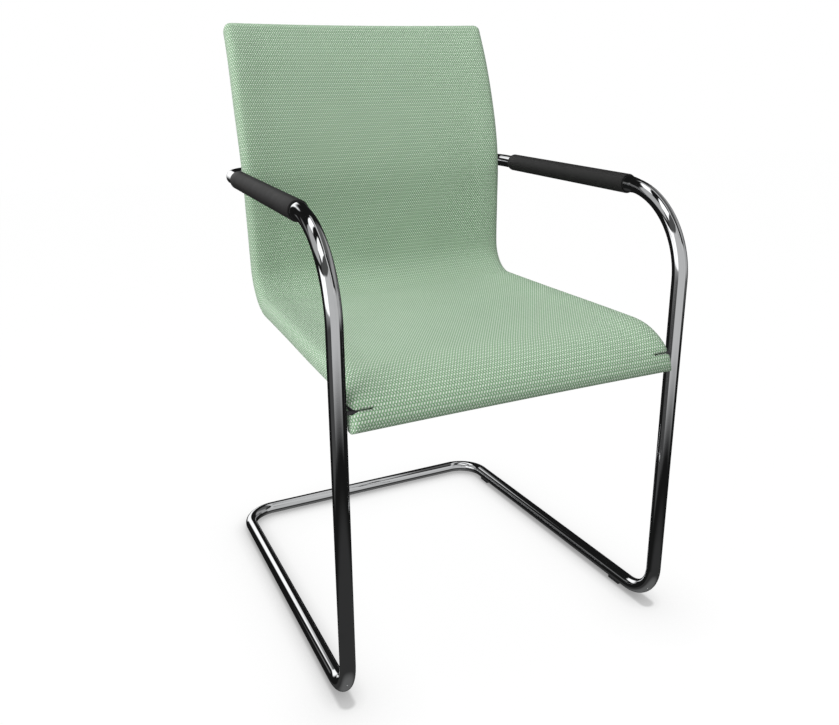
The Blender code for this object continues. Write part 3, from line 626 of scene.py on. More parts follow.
def swell_at_sleeves(work):
    """Widens the tube a little where it comes out of the front end of each sleeve."""
    for reach in (SLEEVE_FROM_BEND, SLEEVE_FROM_BEND + SWELL_INSIDE):
        faces = [face for face in work.faces if face.calc_center_median().z > ARM_Z - 2 * TUBE_RADIUS]
        edges = list({edge for face in faces for edge in face.edges})
        verts = list({vert for face in faces for vert in face.verts})
        cut_at = ARM_START + ALONG_ARM * reach
        bmesh.ops.bisect_plane(
            work, geom=faces + edges + verts, dist=1e-6, plane_co=cut_at, plane_no=ALONG_ARM
        )
    for vert in work.verts:
        middle = ARM_START + Vector((math.copysign(HALF_SPACING, vert.co.x), 0, 0))
        along = (vert.co - middle).dot(ALONG_ARM)
        drop = (vert.co - middle).dot(DOWN_LEG)
        if drop > ELBOW_RADIUS:
            continue
        if along < 0:
            turn = math.atan2(-along, ELBOW_RADIUS - drop)
            middle += DOWN_LEG * ELBOW_RADIUS * (1 - math.cos(turn))
            middle -= ALONG_ARM * ELBOW_RADIUS * math.sin(turn)
            share = (ELBOW_RADIUS * turn + SLEEVE_FROM_BEND) / SWELL_OUTSIDE
        elif along < SLEEVE_FROM_BEND:
            middle += ALONG_ARM * along
            share = (SLEEVE_FROM_BEND - along) / SWELL_OUTSIDE
        else:
            middle += ALONG_ARM * along
            share = (along - SLEEVE_FROM_BEND) / SWELL_INSIDE
        if share < 1:
            vert.co += (vert.co - middle).normalized() * SLEEVE_SWELL * (1 - float(smooth_step(share)))


class CHAIR_OT_frame_tube(bpy.types.Operator):
    """Bend the chrome tube: one closed run of floor rails, legs, arms and back bar"""

    bl_idname = "chair.frame_tube"
    bl_label = "Bent tube"

    def execute(self, context):
        sizes = context.scene.chair_sizes
        near = JOINT_GAP / 2
        corners = [
            (-near, BACK_BAR_Y, BACK_BAR_Z),
            (-HALF_SPACING, BACK_BAR_Y, BACK_BAR_Z),
            (-HALF_SPACING, ELBOW_Y, ELBOW_Z),
            (-HALF_SPACING, FOOT_Y, RAIL_Z),
            (-HALF_SPACING, REAR_BAR_Y, RAIL_Z),
            (HALF_SPACING, REAR_BAR_Y, RAIL_Z),
            (HALF_SPACING, FOOT_Y, RAIL_Z),
            (HALF_SPACING, ELBOW_Y, ELBOW_Z),
            (HALF_SPACING, BACK_BAR_Y, BACK_BAR_Z),
            (near, BACK_BAR_Y, BACK_BAR_Z),
        ]
        side = [ARM_REAR_RADIUS, ELBOW_RADIUS, FOOT_RADIUS, FLOOR_CORNER_RADIUS]
        work = bmesh.new()
        ends = bent_tube(work, corners, side + side[::-1], TUBE_RADIUS, sizes.tube_sides, sizes.tube_turn)
        swell_at_sleeves(work)
        joint = []
        share = 1 - JOINT_CHAMFER / TUBE_RADIUS
        for sign, ring in ((-1, ends[0]), (1, ends[1])):
            centre = (sign * near, BACK_BAR_Y, BACK_BAR_Z)
            joint += drawn_in(work, ring, centre, share, (-sign * near * 0.5, 0.0, 0.0))
        bmesh.ops.bridge_loops(work, edges=joint)
        tube = finished_piece("frame_tube", work, "chrome", body=None)
        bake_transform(tube)
        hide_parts("base_tube", "left_side_tube", "right_side_tube")
        return {"FINISHED"}


def through(at, keys, values):
    """A smooth curve through the given values."""
    keys = np.asarray(keys, float)
    values = np.asarray(values, float)
    at = np.clip(np.asarray(at, float), keys[0], keys[-1])
    widths = np.diff(keys)
    slopes = np.diff(values) / widths
    tangents = np.zeros(len(keys))
    tangents[1:-1] = (slopes[:-1] * widths[1:] + slopes[1:] * widths[:-1]) / (keys[2:] - keys[:-2])
    tangents[-1] = slopes[-1]
    span = np.clip(np.searchsorted(keys, at, side="right") - 1, 0, len(keys) - 2)
    width = widths[span]
    part = (at - keys[span]) / width
    low = (1 + 2 * part) * (1 - part) ** 2 * values[span] + part * (1 - part) ** 2 * width * tangents[span]
    high = part**2 * (3 - 2 * part) * values[span + 1] + part**2 * (part - 1) * width * tangents[span + 1]
    return low + high


class ShellLine:
    """The line of the seat and back seen from the side, and places off it."""

    def __init__(self):
        heights = np.linspace(BACK_HEIGHTS[-1], BACK_HEIGHTS[0], 200)
        back = np.column_stack([through(heights, BACK_HEIGHTS, BACK_DEPTHS), heights])
        bend_centre = np.array([BACK_DEPTHS[0] - BEND_RADIUS, BACK_HEIGHTS[0]])
        turn = np.linspace(0, math.pi / 2 - SEAT_SLOPE, 60)[1:]
        bend = bend_centre + BEND_RADIUS * np.column_stack([np.cos(turn), -np.sin(turn)])
        nose_turn = math.atan(math.tan(SEAT_SLOPE) * NOSE_DEPTH / NOSE_HEIGHT)
        turn = np.linspace(nose_turn, math.pi / 2, 80)
        nose = np.column_stack([NOSE_Y - NOSE_DEPTH * np.sin(turn), NOSE_Z + NOSE_HEIGHT * np.cos(turn)])
        share = np.linspace(0, 1, 120)[1:-1, None]
        seat = bend[-1] * (1 - share) + nose[0] * share
        face = np.concatenate([back, bend, seat, nose, [nose[-1] - [0, NOSE_STRAIGHT]]])
        along = np.gradient(face, axis=0)
        along /= np.linalg.norm(along, axis=1)[:, None]
        self.normals = np.column_stack([along[:, 1], -along[:, 0]])
        self.middle = face - self.normals * PANEL / 2
        steps = np.linalg.norm(np.diff(self.middle, axis=0), axis=1)
        self.at = np.concatenate([[0], np.cumsum(steps)])
        self.length = float(self.at[-1])
        counts = np.cumsum([len(back) - 1, len(bend), len(seat) + 1])
        self.bend_start, self.bend_end, self.nose_start = (float(self.at[count]) for count in counts)
        on_nose = self.at > self.nose_start
        front = self.middle[on_nose] + self.normals[on_nose] * PANEL / 2
        self.slit_s = float(np.interp(-SLIT_Z, -front[:, 1], self.at[on_nose]))

    def half_width(self, s):
        return INNER_SIDE - through(s / self.length, SIDE_CLEARANCE_AT, SIDE_CLEARANCE)

    def outline_half(self, s):
        """Half the width, with the corners of the outline rounded."""
        half = self.half_width(s)
        for from_end, corner in ((s, TOP_CORNER), (self.length - s, NOSE_CORNER)):
            short = np.clip(corner - from_end, 0, corner)
            half = half - (corner - np.sqrt(corner**2 - short**2))
        return half

    def place(self, x, s, h):
        """World places, h out of the front face from the middle of the thickness."""
        normal_y = np.interp(s, self.at, self.normals[:, 0])
        normal_z = np.interp(s, self.at, self.normals[:, 1])
        size = np.hypot(normal_y, normal_z)
        normal_y = normal_y / size
        normal_z = normal_z / size
        share = np.minimum(np.abs(x) / self.half_width(s), 1.0)
        sunk = through(s / self.length, HOLLOW_AT, HOLLOW) * (1 - share**2)
        on_back = s < self.bend_start
        y = np.interp(s, self.at, self.middle[:, 0]) + normal_y * h
        z = np.interp(s, self.at, self.middle[:, 1]) + normal_z * h
        y = y - np.where(on_back, -1.0, normal_y) * sunk
        z = z - np.where(on_back, 0.0, normal_z) * sunk
        return np.column_stack([x, y, z])


def smooth_step(value):
    value = np.clip(value, 0.0, 1.0)
    return value * value * (3 - 2 * value)


# Steps round the cover's edge and down its rim, and the rows on each side of the slit
EDGE_STEPS = 6
RIM_STEPS = 5
SLIT_ROWS = (0.0, 0.0004, 0.0008, 0.0012, 0.0016, 0.0020, 0.0026, 0.0034, 0.0046, 0.0064, 0.0088)

# Padded roll along the sides: its width, its lean to the edge, its crest, and its fade at the ends
ROLL_WIDTH = 0.060
ROLL_LEAN = 1.15
ROLL_CREST = 2.2
ROLL_END = 0.04

# Edges of the cut at distances in from the side. The ear above it curls up and the flap below it drops, but
# beside the left leg a narrow tab of the flap stands up.
EAR_AT = (0.0, 0.0005, 0.0013, 0.0025, 0.0057, 0.0095, 0.0158, 0.0316)
EAR_RISE = (0.0135, 0.0120, 0.0083, 0.0053, 0.0023, 0.0008, 0.0003, 0.0002)
FLAP_AT = (0.0, 0.0004, 0.0016, 0.0027, 0.0060, 0.0095, 0.0120, 0.0316)
FLAP_DROP = (0.0, 0.0, 0.0020, 0.0029, 0.0021, 0.0010, 0.0004, 0.0002)
LEFT_TAB = 0.0116
TAB_WIDTH = 0.0010

# How far round it the cut moves the cover, how much higher than the bar it lies, and how it closes
EAR_REACH = 0.028
FLAP_REACH = 0.016
SLIT_RAISE = 0.0030
SLIT_RAISE_REACH = 0.020
SLIT_TAPER = 0.012

# Where the cut is only a line, in from the side, its lips get painted shade too
LINE_FROM, LINE_FULL = 0.010, 0.016
LINE_PAINTED_SHADE = 0.65

# Pocket behind the cut, from its middle (0) to the lips (1): depth below the face, and whether a place lies
# at the bar's face (1) or at the cut's edge (0)
SLIT_LIP = 0.0020
POCKET_DEPTH = 0.0330
POCKET_WALL = 0.0015
POCKET_AT = (0.0, 0.2, 0.4, 0.6, 0.8, 1.0)
POCKET_DEPTHS = (POCKET_DEPTH, POCKET_DEPTH, 0.0145, 0.0085, 0.0030, 0.0008)
POCKET_SPREAD = (0.0, 1.0, 1.0, 0.0, 0.0, 0.0)
POCKET_ROOM = 0.0008
REAR_POCKET_REACH = 0.0055
# Painted shade on the pocket's walls: up to where along them it is full, and over how much it fades out
PAINTED_SHADE_UP_TO = 0.80
PAINTED_SHADE_FADE = 0.18
SEAM_DEPTH = 0.0009


def spaced(low, high, step):
    return list(np.linspace(low, high, max(2, round((high - low) / step) + 1)))


def cover_rows(line, step):
    """Places of the cover's rows along the shell: close together at the ends and at the slit."""
    rise = [EDGE_ROUND * (1 - math.cos(math.pi / 2 * count / EDGE_STEPS)) for count in range(EDGE_STEPS)]
    slit = sorted({line.slit_s + sign * offset for offset in SLIT_ROWS for sign in (-1, 1)})
    rows = rise + spaced(EDGE_ROUND, slit[0] - step / 2, step)
    rows += slit
    rows += spaced(slit[-1] + step / 2, line.length - EDGE_ROUND, step)
    rows += [line.length - value for value in reversed(rise)]
    return np.array(rows)


class CHAIR_OT_upholstery(bpy.types.Operator):
    """Pad and cover the seat and back: one knit cover with a slit at each front corner"""

    bl_idname = "chair.upholstery"
    bl_label = "Seat and back"

    def execute(self, context):
        sizes = context.scene.chair_sizes
        line = ShellLine()
        rows = cover_rows(line, sizes.cover_step)
        inner_columns = round(2 * (INNER_SIDE - EDGE_ROUND) / sizes.cover_step)
        columns = inner_columns + 2 * EDGE_STEPS

        # Two flat sheets, joined round their edges
        work = bmesh.new()
        for level in (1.0, -1.0):
            lift = Matrix.Translation((0, 0, level))
            bmesh.ops.create_grid(work, x_segments=columns, y_segments=len(rows) - 1, size=1.0, matrix=lift)
        rim = [edge for edge in work.edges if edge.is_boundary]
        made = bmesh.ops.bridge_loops(work, edges=rim)
        across_rim = [edge for edge in made["edges"] if abs(edge.verts[0].co.z - edge.verts[1].co.z) > 1]
        bmesh.ops.subdivide_edges(work, edges=across_rim, cuts=RIM_STEPS - 1, use_grid_fill=True)
        work.verts.ensure_lookup_table()

        flat = np.array([vert.co for vert in work.verts])
        column = (flat[:, 0] + 1) / 2 * columns
        row = (flat[:, 1] + 1) / 2 * (len(rows) - 1)
        level = flat[:, 2]
        s = np.interp(row, np.arange(len(rows)), rows)

        # Distance in from the edge, then across and up from the middle line
        from_side = np.minimum(column, columns - column)
        turn = np.clip(from_side / EDGE_STEPS, 0, 1) * math.pi / 2
        inset = EDGE_ROUND * (1 - np.cos(turn))
        half = line.outline_half(s)
        middle_share = (column - columns / 2) / (inner_columns / 2)
        x = np.where(
            from_side < EDGE_STEPS,
            np.sign(middle_share) * (half - inset),
            np.clip(middle_share, -1, 1) * (half - EDGE_ROUND),
        )
        from_end = np.minimum(s, line.length - s)
        corner = np.where(s < line.length / 2, TOP_CORNER, NOSE_CORNER)
        from_edge = line.half_width(s) - np.abs(x)
        in_corner = (from_edge < corner) & (from_end < corner)
        round_in = corner - np.hypot(corner - from_edge, corner - from_end)
        inner = np.where(in_corner, round_in, np.minimum(from_edge, from_end))
        inner = np.clip(inner, 0.0, EDGE_ROUND)
        seam = PANEL / 2 - EDGE_ROUND
        rise = seam + np.sqrt(EDGE_ROUND**2 - (EDGE_ROUND - inner) ** 2)

        # The padding swells a little in the middle and rolls along the sides
        side_share = np.clip(from_edge / ROLL_WIDTH, 0, 1)
        roll = np.sin(side_share * math.pi) * np.clip(ROLL_LEAN - side_share, 0, 1) * ROLL_CREST
        swell = sizes.edge_roll * roll * smooth_step(from_end / ROLL_END)
        front_h = rise + swell
        rear_h = -rise

        # Slit: lips at the face, and a pocket behind them round the bar's flat end
        away = s - line.slit_s
        material_away = np.abs(away)
        in_slit = np.abs(x) > SLIT_X - 1e-5
        to_side = line.half_width(s) - np.abs(x)
        flap_edge = np.interp(to_side, FLAP_AT, FLAP_DROP)
        flap_edge = np.where((x < 0) & (to_side < TAB_WIDTH), -LEFT_TAB, flap_edge)
        edge_at = np.where(away < 0, -np.interp(to_side, EAR_AT, EAR_RISE), flap_edge)
        reach = np.where(away < 0, EAR_REACH, FLAP_REACH)
        fade = 1 - smooth_step((material_away - SLIT_LIP) / reach)
        raised = SLIT_RAISE * smooth_step((np.abs(x) - SLIT_X + SLIT_RAISE_REACH) / SLIT_RAISE_REACH)
        shift = (np.where(in_slit, edge_at, 0.0) - raised) * fade
        lip_share = np.clip(material_away / SLIT_LIP, 0, 1)
        pocket_half = np.sign(away) * (BAR_END_THICK / 2 + POCKET_ROOM)
        inside = in_slit & (material_away < SLIT_LIP + 1e-6) & (level > -0.999)
        tapered = smooth_step((np.abs(x) - SLIT_X) / SLIT_TAPER)
        depth = np.interp(lip_share, POCKET_AT, POCKET_DEPTHS) * tapered
        spread = np.interp(lip_share, POCKET_AT, POCKET_SPREAD) * tapered
        off_middle = np.interp(lip_share, POCKET_AT, (0.0, 1.0, 1.0, 1.0, 1.0, 1.0))
        pocket = off_middle * (pocket_half * spread + (edge_at - raised) * (1 - spread))
        pocket = pocket - (1 - off_middle) * raised * (1 - tapered)
        s = np.where(inside, line.slit_s + pocket, s + shift)
        # Painted shade in the slit, on the pocket's walls and on the lips where the cut is only a line
        painted_lip_shade = np.interp(to_side, (LINE_FROM, LINE_FULL), (0.0, LINE_PAINTED_SHADE))
        painted_lip_shade = np.maximum(painted_lip_shade, 1 - smooth_step((lip_share - PAINTED_SHADE_UP_TO) / PAINTED_SHADE_FADE))
        lining = np.where(inside, smooth_step(tapered * 2) * painted_lip_shade, 0.0)
        bottom = PANEL / 2 - POCKET_DEPTH
        sunk_h = np.minimum(front_h, np.maximum(PANEL / 2 - depth, bottom))
        front_now = np.where(inside, sunk_h, front_h)
        behind_pocket = in_slit & (material_away < REAR_POCKET_REACH)
        rear_sunk = np.where(behind_pocket, (bottom - POCKET_WALL) * tapered, rear_h)
        rear_now = np.minimum(rear_sunk, rear_h)
        h = front_now * (1 + level) / 2 + rear_now * (1 - level) / 2

        # Sewn seam round the rear edge
        on_seam = np.abs(level + 1 - 2 / RIM_STEPS) < 0.01
        seam_line = on_seam & (from_side < 0.5)
        pull = np.where(seam_line & ~in_slit, SEAM_DEPTH, 0.0)
        x = x - np.sign(x) * pull

        places = line.place(x, s, h)
        # Each place carries its share of painted shade for the knit
        dark = work.verts.layers.float.new("lining")
        for vert, place, inner_share in zip(work.verts, places, lining):
            vert.co = Vector(place)
            vert[dark] = inner_share

        # Cloth map: metres across and along the cloth, carried round the edges
        arc_side = np.where(from_side < EDGE_STEPS, EDGE_ROUND * (math.pi / 2 - turn), 0.0)
        flat_half = np.where(from_side < EDGE_STEPS, line.half_width(s) - EDGE_ROUND, np.abs(x))
        rim_drop = (1 - level) / 2 * 2 * seam
        cloth_u = np.sign(middle_share) * (flat_half + arc_side + np.where(from_side < 0.5, rim_drop, 0.0))
        end_turn = np.arccos(np.clip(1 - from_end / EDGE_ROUND, 0, 1))
        arc_end = EDGE_ROUND * (math.pi / 2 - end_turn) - (EDGE_ROUND - from_end)
        arc_end = np.where(from_end < EDGE_ROUND, arc_end, 0.0)
        at_end = from_end < 1e-5
        cloth_v = s + np.where(s < line.length / 2, -1, 1) * (arc_end + np.where(at_end, rim_drop, 0.0))
        cloth = work.loops.layers.uv.new("cloth")
        for face in work.faces:
            for loop in face.loops:
                index = loop.vert.index
                loop[cloth].uv = (cloth_u[index], cloth_v[index])

        cover = finished_piece("upholstery", work, "knit", sharp=math.radians(80))
        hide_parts("front_cover", "rear_cover", "seat_foam", "back_foam", "rear_padding")
        cover.visible_glossy = False
        return {"FINISHED"}


def turned_piece(name, profile, base, axis, material, sides=48, body=SEAT):
    """Spins a profile of (radius, height) points once round an axis."""
    work = bmesh.new()
    place = Matrix.Translation(base) @ facing(axis)
    verts = [work.verts.new(place @ Vector((radius, 0, height))) for radius, height in profile]
    edges = [work.edges.new(pair) for pair in zip(verts, verts[1:])]
    geom = verts + edges
    bmesh.ops.spin(work, geom=geom, cent=base, axis=axis, angle=math.tau, steps=sides, use_merge=True)
    return finished_piece(name, work, material, body)


class CHAIR_OT_arm_sleeves(bpy.types.Operator):
    """Slide a grained sleeve over the straight of each arm"""

    bl_idname = "chair.arm_sleeves"
    bl_label = "Arm sleeves"

    def execute(self, context):
        radius = context.scene.chair_sizes.sleeve_radius
        length = context.scene.chair_sizes.sleeve_length
        bore = TUBE_RADIUS + BORE_GAP
        mouth = bore + SLEEVE_SWELL
        ends = []
        for turn in SLEEVE_LIP_TURNS:
            angle = math.radians(turn)
            ends.append((radius - SLEEVE_LIP * (1 - math.sin(angle)), SLEEVE_LIP * (1 - math.cos(angle))))
        middle = [(radius, step * length / SLEEVE_RINGS) for step in range(1, SLEEVE_RINGS)]
        inner_end = (bore, SWELL_INSIDE + BORE_END)
        profile = [inner_end, (bore, SWELL_INSIDE), (mouth, MOUTH_EDGE), (mouth + MOUTH_EDGE, 0.0)]
        profile += ends + middle
        profile += [(r, length - h) for r, h in reversed(ends)]
        profile += [(bore + MOUTH_EDGE, length), (bore, length - MOUTH_EDGE), inner_end]
        start = ARM_START + ALONG_ARM * SLEEVE_FROM_BEND
        for side, sign in (("left", -1), ("right", 1)):
            base = start + Vector((sign * HALF_SPACING, 0, 0))
            sleeve = turned_piece(f"{side}_sleeve", profile, base, ALONG_ARM, "sleeve rubber", 64)
            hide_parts(f"{side}_arm_sleeve")
        return {"FINISHED"}


# Finish of each material slot of the frame
FINISHES = {
    "chrome_tube": "chrome",
    "knit_cover": "knit",
    "plywood": "plywood",
    "sleeve": "sleeve rubber",
    "dark_steel": "coated steel",
    "zinc_steel": "zinc plate",
    "black_plastic": "moulded plastic",
}


class CHAIR_OT_fittings(bpy.types.Operator):
    """Finish the crossbar, clips, screws, saddles, bolts, glides and plywood of the frame"""

    bl_idname = "chair.fittings"
    bl_label = "Fittings"

    def execute(self, context):
        slots = {}
        for name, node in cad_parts.items():
            first = node.material_slots[0].name if node.material_slots else "dark_steel"
            slots[name] = first.split(".")[0]
        for name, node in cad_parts.items():
            node.data.materials.clear()
            node.data.materials.append(finish_material(FINISHES.get(slots[name], "plywood")))
            node.visible_glossy = False
        return {"FINISHED"}


# Studio


# Ceiling panes that the chrome mirrors, on a plane one metre up: left, right, front, back, softness, level
PANES = {
    "ceiling pane, front": (-1.00, -0.07, -0.53, -0.08, 0.03, 1.40),
    "ceiling pane, back": (-0.62, 0.12, 0.19, 0.49, 0.03, 1.40),
    "ceiling strip": (0.21, 0.38, -0.50, 0.62, 0.03, 0.62),
}

# Walls and windows that it mirrors: bearing, half width and softness in degrees, foot and top as sines of the
# elevation, how much foot and top climb to the right, level
WALLS = {
    "front wall": (205, 37, 4, (-0.515, -0.35), (0.64, 0.58), (0.0, -0.20), 0.56),
    "front wall, right": (152, 19, 4, (-0.515, -0.35), (0.45, 0.40), (0.0, 0.37), 0.56),
    "front corner, right": (117, 19, 6, (-0.36, -0.06), (0.30, 0.18), (0.0, 0.0), 0.44),
    "front pillar": (157, 7, 1.5, (0.20, 0.30), (0.93, 0.88), (0.0, 0.0), 0.64),
    "front cornice": (205, 58, 10, (0.30, 0.40), (0.97, 0.92), (0.0, 0.0), 0.085),
    "left window": (268, 27, 2, (-0.155, -0.085), (0.33, 0.29), (0.0, -0.34), 1.40),
    "glow under the window": (268, 30, 4, (-0.36, -0.06), (0.00, -0.04), (0.0, 0.0), 0.38),
    "left wall, lower": (268, 29, 3, (-0.50, -0.465), (0.02, -0.02), (0.0, 0.0), 0.068),
    "left wall, upper": (287, 22, 2, (0.29, 0.33), (0.82, 0.77), (-0.41, 0.0), 0.47),
    "rear corner, left": (317, 8, 3, (0.08, 0.16), (0.36, 0.30), (0.0, 0.0), 0.16),
    "rear window": (353, 15, 3, (-0.10, 0.17), (0.64, 0.53), (0.0, 0.0), 1.25),
    "right wall": (90, 34, 6, (0.05, 0.28), (0.70, 0.50), (0.0, 0.0), 0.34),
    "right wall, lower": (90, 37, 8, (-0.30, -0.10), (0.98, 0.90), (0.0, 0.0), 0.12),
}

# Levels of the dark room, its ground and the ground straight below, and the sines of the elevation between
# which each comes in. Below the least rise no pane is looked for.
DARK_ROOM = 0.010
DARK_GROUND = 0.036
GROUND_RANGE = (-0.53, -0.60)
GROUND_BELOW = 0.13
BELOW_RANGE = (-0.62, -0.95)
LEAST_RISE = 0.05


def studio_world(strength):
    """White to the lens, plain light on matt surfaces, and for the chrome a dark room with windows."""
    world = bpy.data.worlds.new("studio")
    bpy.context.scene.world = world
    world.use_nodes = True
    tree = world.node_tree
    tree.nodes.clear()
    sketch = NodeSketch(tree)
    path = sketch.node("ShaderNodeLightPath")
    direction = sketch.split(sketch.node("ShaderNodeTexCoord").outputs["Generated"])
    up = direction[2]
    flat = sketch.math("SQRT", sketch.sloped(up, sketch.times(up, -1.0), 1.0001))
    to_right = sketch.math("DIVIDE", direction[0], flat)
    to_back = sketch.math("DIVIDE", direction[1], flat)
    rising = sketch.most(up, LEAST_RISE)
    across = sketch.math("DIVIDE", direction[0], rising)
    along = sketch.math("DIVIDE", direction[1], rising)
    level = sketch.step_between(up, *GROUND_RANGE, DARK_ROOM, DARK_GROUND)
    level = sketch.most(level, sketch.step_between(up, *BELOW_RANGE, 0.0, GROUND_BELOW))
    for bearing, half, soft, foot, top, climb, bright in WALLS.values():
        turn = math.radians(bearing)
        towards = sketch.sloped(to_right, math.sin(turn), sketch.times(to_back, math.cos(turn)))
        sideways = sketch.sloped(to_right, math.cos(turn), sketch.times(to_back, -math.sin(turn)))
        low, high = math.cos(math.radians(half + soft)), math.cos(math.radians(half - soft))
        wide = sketch.step_between(towards, low, high)
        over_foot = sketch.step_between(sketch.sloped(sideways, -climb[0], up), *foot)
        under_top = sketch.step_between(sketch.sloped(sideways, -climb[1], up), *top)
        wall = sketch.times(wide, sketch.times(over_foot, under_top))
        level = sketch.most(level, sketch.times(wall, bright))
    for left, right, front, back, soft, bright in PANES.values():
        pane = sketch.times(
            sketch.between(across, left, right, soft), sketch.between(along, front, back, soft)
        )
        level = sketch.most(level, sketch.times(pane, bright))
    plain = sketch.mix(path.outputs["Is Glossy Ray"], (strength,) * 3, level)
    seen = sketch.mix(path.outputs["Is Camera Ray"], plain, (1.0, 1.0, 1.0))
    background = sketch.node("ShaderNodeBackground", None, {"Color": seen, "Strength": 1.0})
    out = tree.nodes.new("ShaderNodeOutputWorld")
    tree.links.new(background.outputs[0], out.inputs[0])


# Shade on the floor: how far round the tube it reaches and how dark it gets, close by and wide
FLOOR_SHADES = ((0.030, 0.28), (0.110, 0.58))

# Soft strip of shade under each rail: half its width, its edge, its round front end and how dark it is
UNDER_RAIL_HALF = 0.0115
UNDER_RAIL_SOFT = 0.0035
UNDER_RAIL_FRONT = FOOT_Y + 0.011
UNDER_RAIL_SHADE = 0.31

# Floor's own light to the lens, and its colour to the lens and to bounced light
FLOOR_GLOW = 0.985
FLOOR_SEEN = 0.02
FLOOR_BOUNCE = 0.30
FLOOR_HALF = 12.0


def floor_material():
    """White to the lens with shade round the tube and a strip under each rail, and grey to bounced light."""
    made, sketch, shader = new_material("studio floor")
    path = sketch.node("ShaderNodeLightPath")
    camera = path.outputs["Is Camera Ray"]
    sketch.feed(shader.inputs["Base Color"], sketch.mix(camera, (FLOOR_BOUNCE,) * 3, (FLOOR_SEEN,) * 3))
    shader.inputs["Roughness"].default_value = 1.0
    shader.inputs["Specular IOR Level"].default_value = 0.0
    place = sketch.split(sketch.object_place())
    from_rail = sketch.math("SUBTRACT", sketch.math("ABSOLUTE", place[0]), HALF_SPACING)
    before_foot = sketch.most(sketch.math("SUBTRACT", UNDER_RAIL_FRONT, place[1]), 0.0)
    from_line = sketch.sloped(before_foot, before_foot, sketch.times(from_rail, from_rail))
    from_line = sketch.math("SQRT", from_line)
    outer, inner = UNDER_RAIL_HALF + UNDER_RAIL_SOFT, UNDER_RAIL_HALF - UNDER_RAIL_SOFT
    under = sketch.step_between(from_line, outer, inner)
    before_bar = sketch.step_between(place[1], REAR_BAR_Y, REAR_BAR_Y - 2 * FLOOR_CORNER_RADIUS)
    glow = sketch.sloped(sketch.times(under, before_bar), -UNDER_RAIL_SHADE, 1.0)
    for reach, shade in FLOOR_SHADES:
        open_share = sketch.node("ShaderNodeAmbientOcclusion", {"samples": 8}, {"Distance": reach})
        glow = sketch.times(sketch.sloped(open_share.outputs["AO"], shade, 1 - shade), glow)
    sketch.feed(shader.inputs["Emission Color"], sketch.mix(glow, (0.0, 0.0, 0.0), (1.0, 1.0, 1.0)))
    sketch.feed(shader.inputs["Emission Strength"], sketch.times(camera, FLOOR_GLOW))
    return made


# Soft lamps: place, aim, width and height
LAMPS = {
    "overhead": ((-0.2, 0.0, 3.4), (0.0, 0.0, 0.45), 2.2, 2.2),
    "side": ((-3.3, -1.2, 1.7), (0.0, 0.0, 0.60), 2.4, 2.2),
}


def soft_lamp(name, power):
    """One of the rectangular lamps, which the chrome doesn't mirror."""
    place, aim, width, height = LAMPS[name]
    data = bpy.data.lights.new(name, "AREA")
    data.shape = "RECTANGLE"
    data.size = width
    data.size_y = height
    data.energy = power
    lamp = bpy.data.objects.new(name, data)
    lamp.location = place
    lamp.rotation_euler = (Vector(aim) - Vector(place)).to_track_quat("-Z", "Y").to_euler()
    lamp.visible_glossy = False
    bpy.context.scene.collection.objects.link(lamp)


def photo_camera(studio):
    """The camera of the photograph."""
    yaw, pitch, roll = studio.camera_yaw, studio.camera_pitch, studio.camera_roll
    forward = Vector((math.sin(yaw) * math.cos(pitch), math.cos(yaw) * math.cos(pitch), -math.sin(pitch)))
    right = Vector((math.cos(yaw), -math.sin(yaw), 0.0))
    down = forward.cross(right)
    image_right = right * math.cos(roll) + down * math.sin(roll)
    image_down = -right * math.sin(roll) + down * math.cos(roll)
    turn = Matrix((image_right, -image_down, -forward)).transposed().to_4x4()
    data = bpy.data.cameras.new("camera")
    data.sensor_width = 36.0
    data.sensor_fit = "HORIZONTAL"
    data.lens = studio.lens
    data.shift_x = studio.shift_x
    data.shift_y = studio.shift_y
    data.clip_start = 0.05
    camera = bpy.data.objects.new("camera", data)
    camera.matrix_world = Matrix.Translation(studio.camera_place) @ turn
    bpy.context.scene.collection.objects.link(camera)
    bpy.context.scene.camera = camera


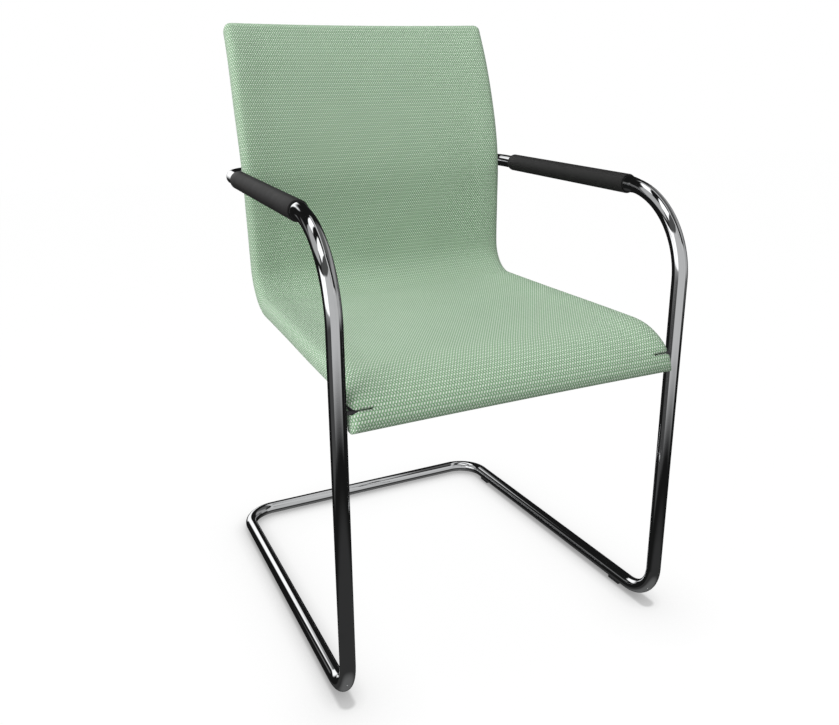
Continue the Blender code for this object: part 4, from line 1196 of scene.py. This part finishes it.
class CHAIR_OT_studio(bpy.types.Operator):
    """Set the pale floor, the soft lamps and the camera"""

    bl_idname = "chair.studio"
    bl_label = "Studio"

    def execute(self, context):
        studio = context.scene.chair_studio
        work = bmesh.new()
        bmesh.ops.create_grid(work, x_segments=4, y_segments=4, size=FLOOR_HALF)
        mesh = bpy.data.meshes.new("studio_floor")
        work.to_mesh(mesh)
        work.free()
        mesh.materials.append(floor_material())
        floor = bpy.data.objects.new("studio_floor", mesh)
        floor.visible_glossy = False
        context.scene.collection.objects.link(floor)
        studio_world(studio.room_light)
        soft_lamp("overhead", studio.top_power)
        soft_lamp("side", studio.side_power)
        photo_camera(studio)
        context.scene.view_settings.view_transform = "Standard"
        return {"FINISHED"}


class CHAIR_PT_panel(bpy.types.Panel):
    """Lists the chair's pieces, sizes and colours"""

    bl_idname = "CHAIR_PT_panel"
    bl_label = "Armchair"
    bl_space_type = "VIEW_3D"
    bl_region_type = "UI"
    bl_category = "Armchair"

    def draw(self, context):
        column = self.layout.column()
        for operator in OPERATORS:
            column.operator(operator.bl_idname)
        for group in (context.scene.chair_sizes, context.scene.chair_colours, context.scene.chair_studio):
            box = column.box()
            for name in group.bl_rna.properties.keys():
                if name not in ("rna_type", "name"):
                    box.prop(group, name)


OPERATORS = (
    CHAIR_OT_frame_tube,
    CHAIR_OT_upholstery,
    CHAIR_OT_arm_sleeves,
    CHAIR_OT_fittings,
    CHAIR_OT_studio,
)
GROUPS = (ChairSizes, ChairColours, StudioSettings)


def register():
    for group in (*GROUPS, *OPERATORS, CHAIR_PT_panel):
        bpy.utils.register_class(group)
    bpy.types.Scene.chair_sizes = bpy.props.PointerProperty(type=ChairSizes)
    bpy.types.Scene.chair_colours = bpy.props.PointerProperty(type=ChairColours)
    bpy.types.Scene.chair_studio = bpy.props.PointerProperty(type=StudioSettings)


def unregister():
    del bpy.types.Scene.chair_studio
    del bpy.types.Scene.chair_colours
    del bpy.types.Scene.chair_sizes
    for group in reversed((*GROUPS, *OPERATORS, CHAIR_PT_panel)):
        bpy.utils.unregister_class(group)


def main():
    register()
    bpy.ops.chair.frame_tube()
    bpy.ops.chair.upholstery()
    bpy.ops.chair.arm_sleeves()
    bpy.ops.chair.fittings()
    bpy.ops.chair.studio()


if __name__ == "__main__":
    main()
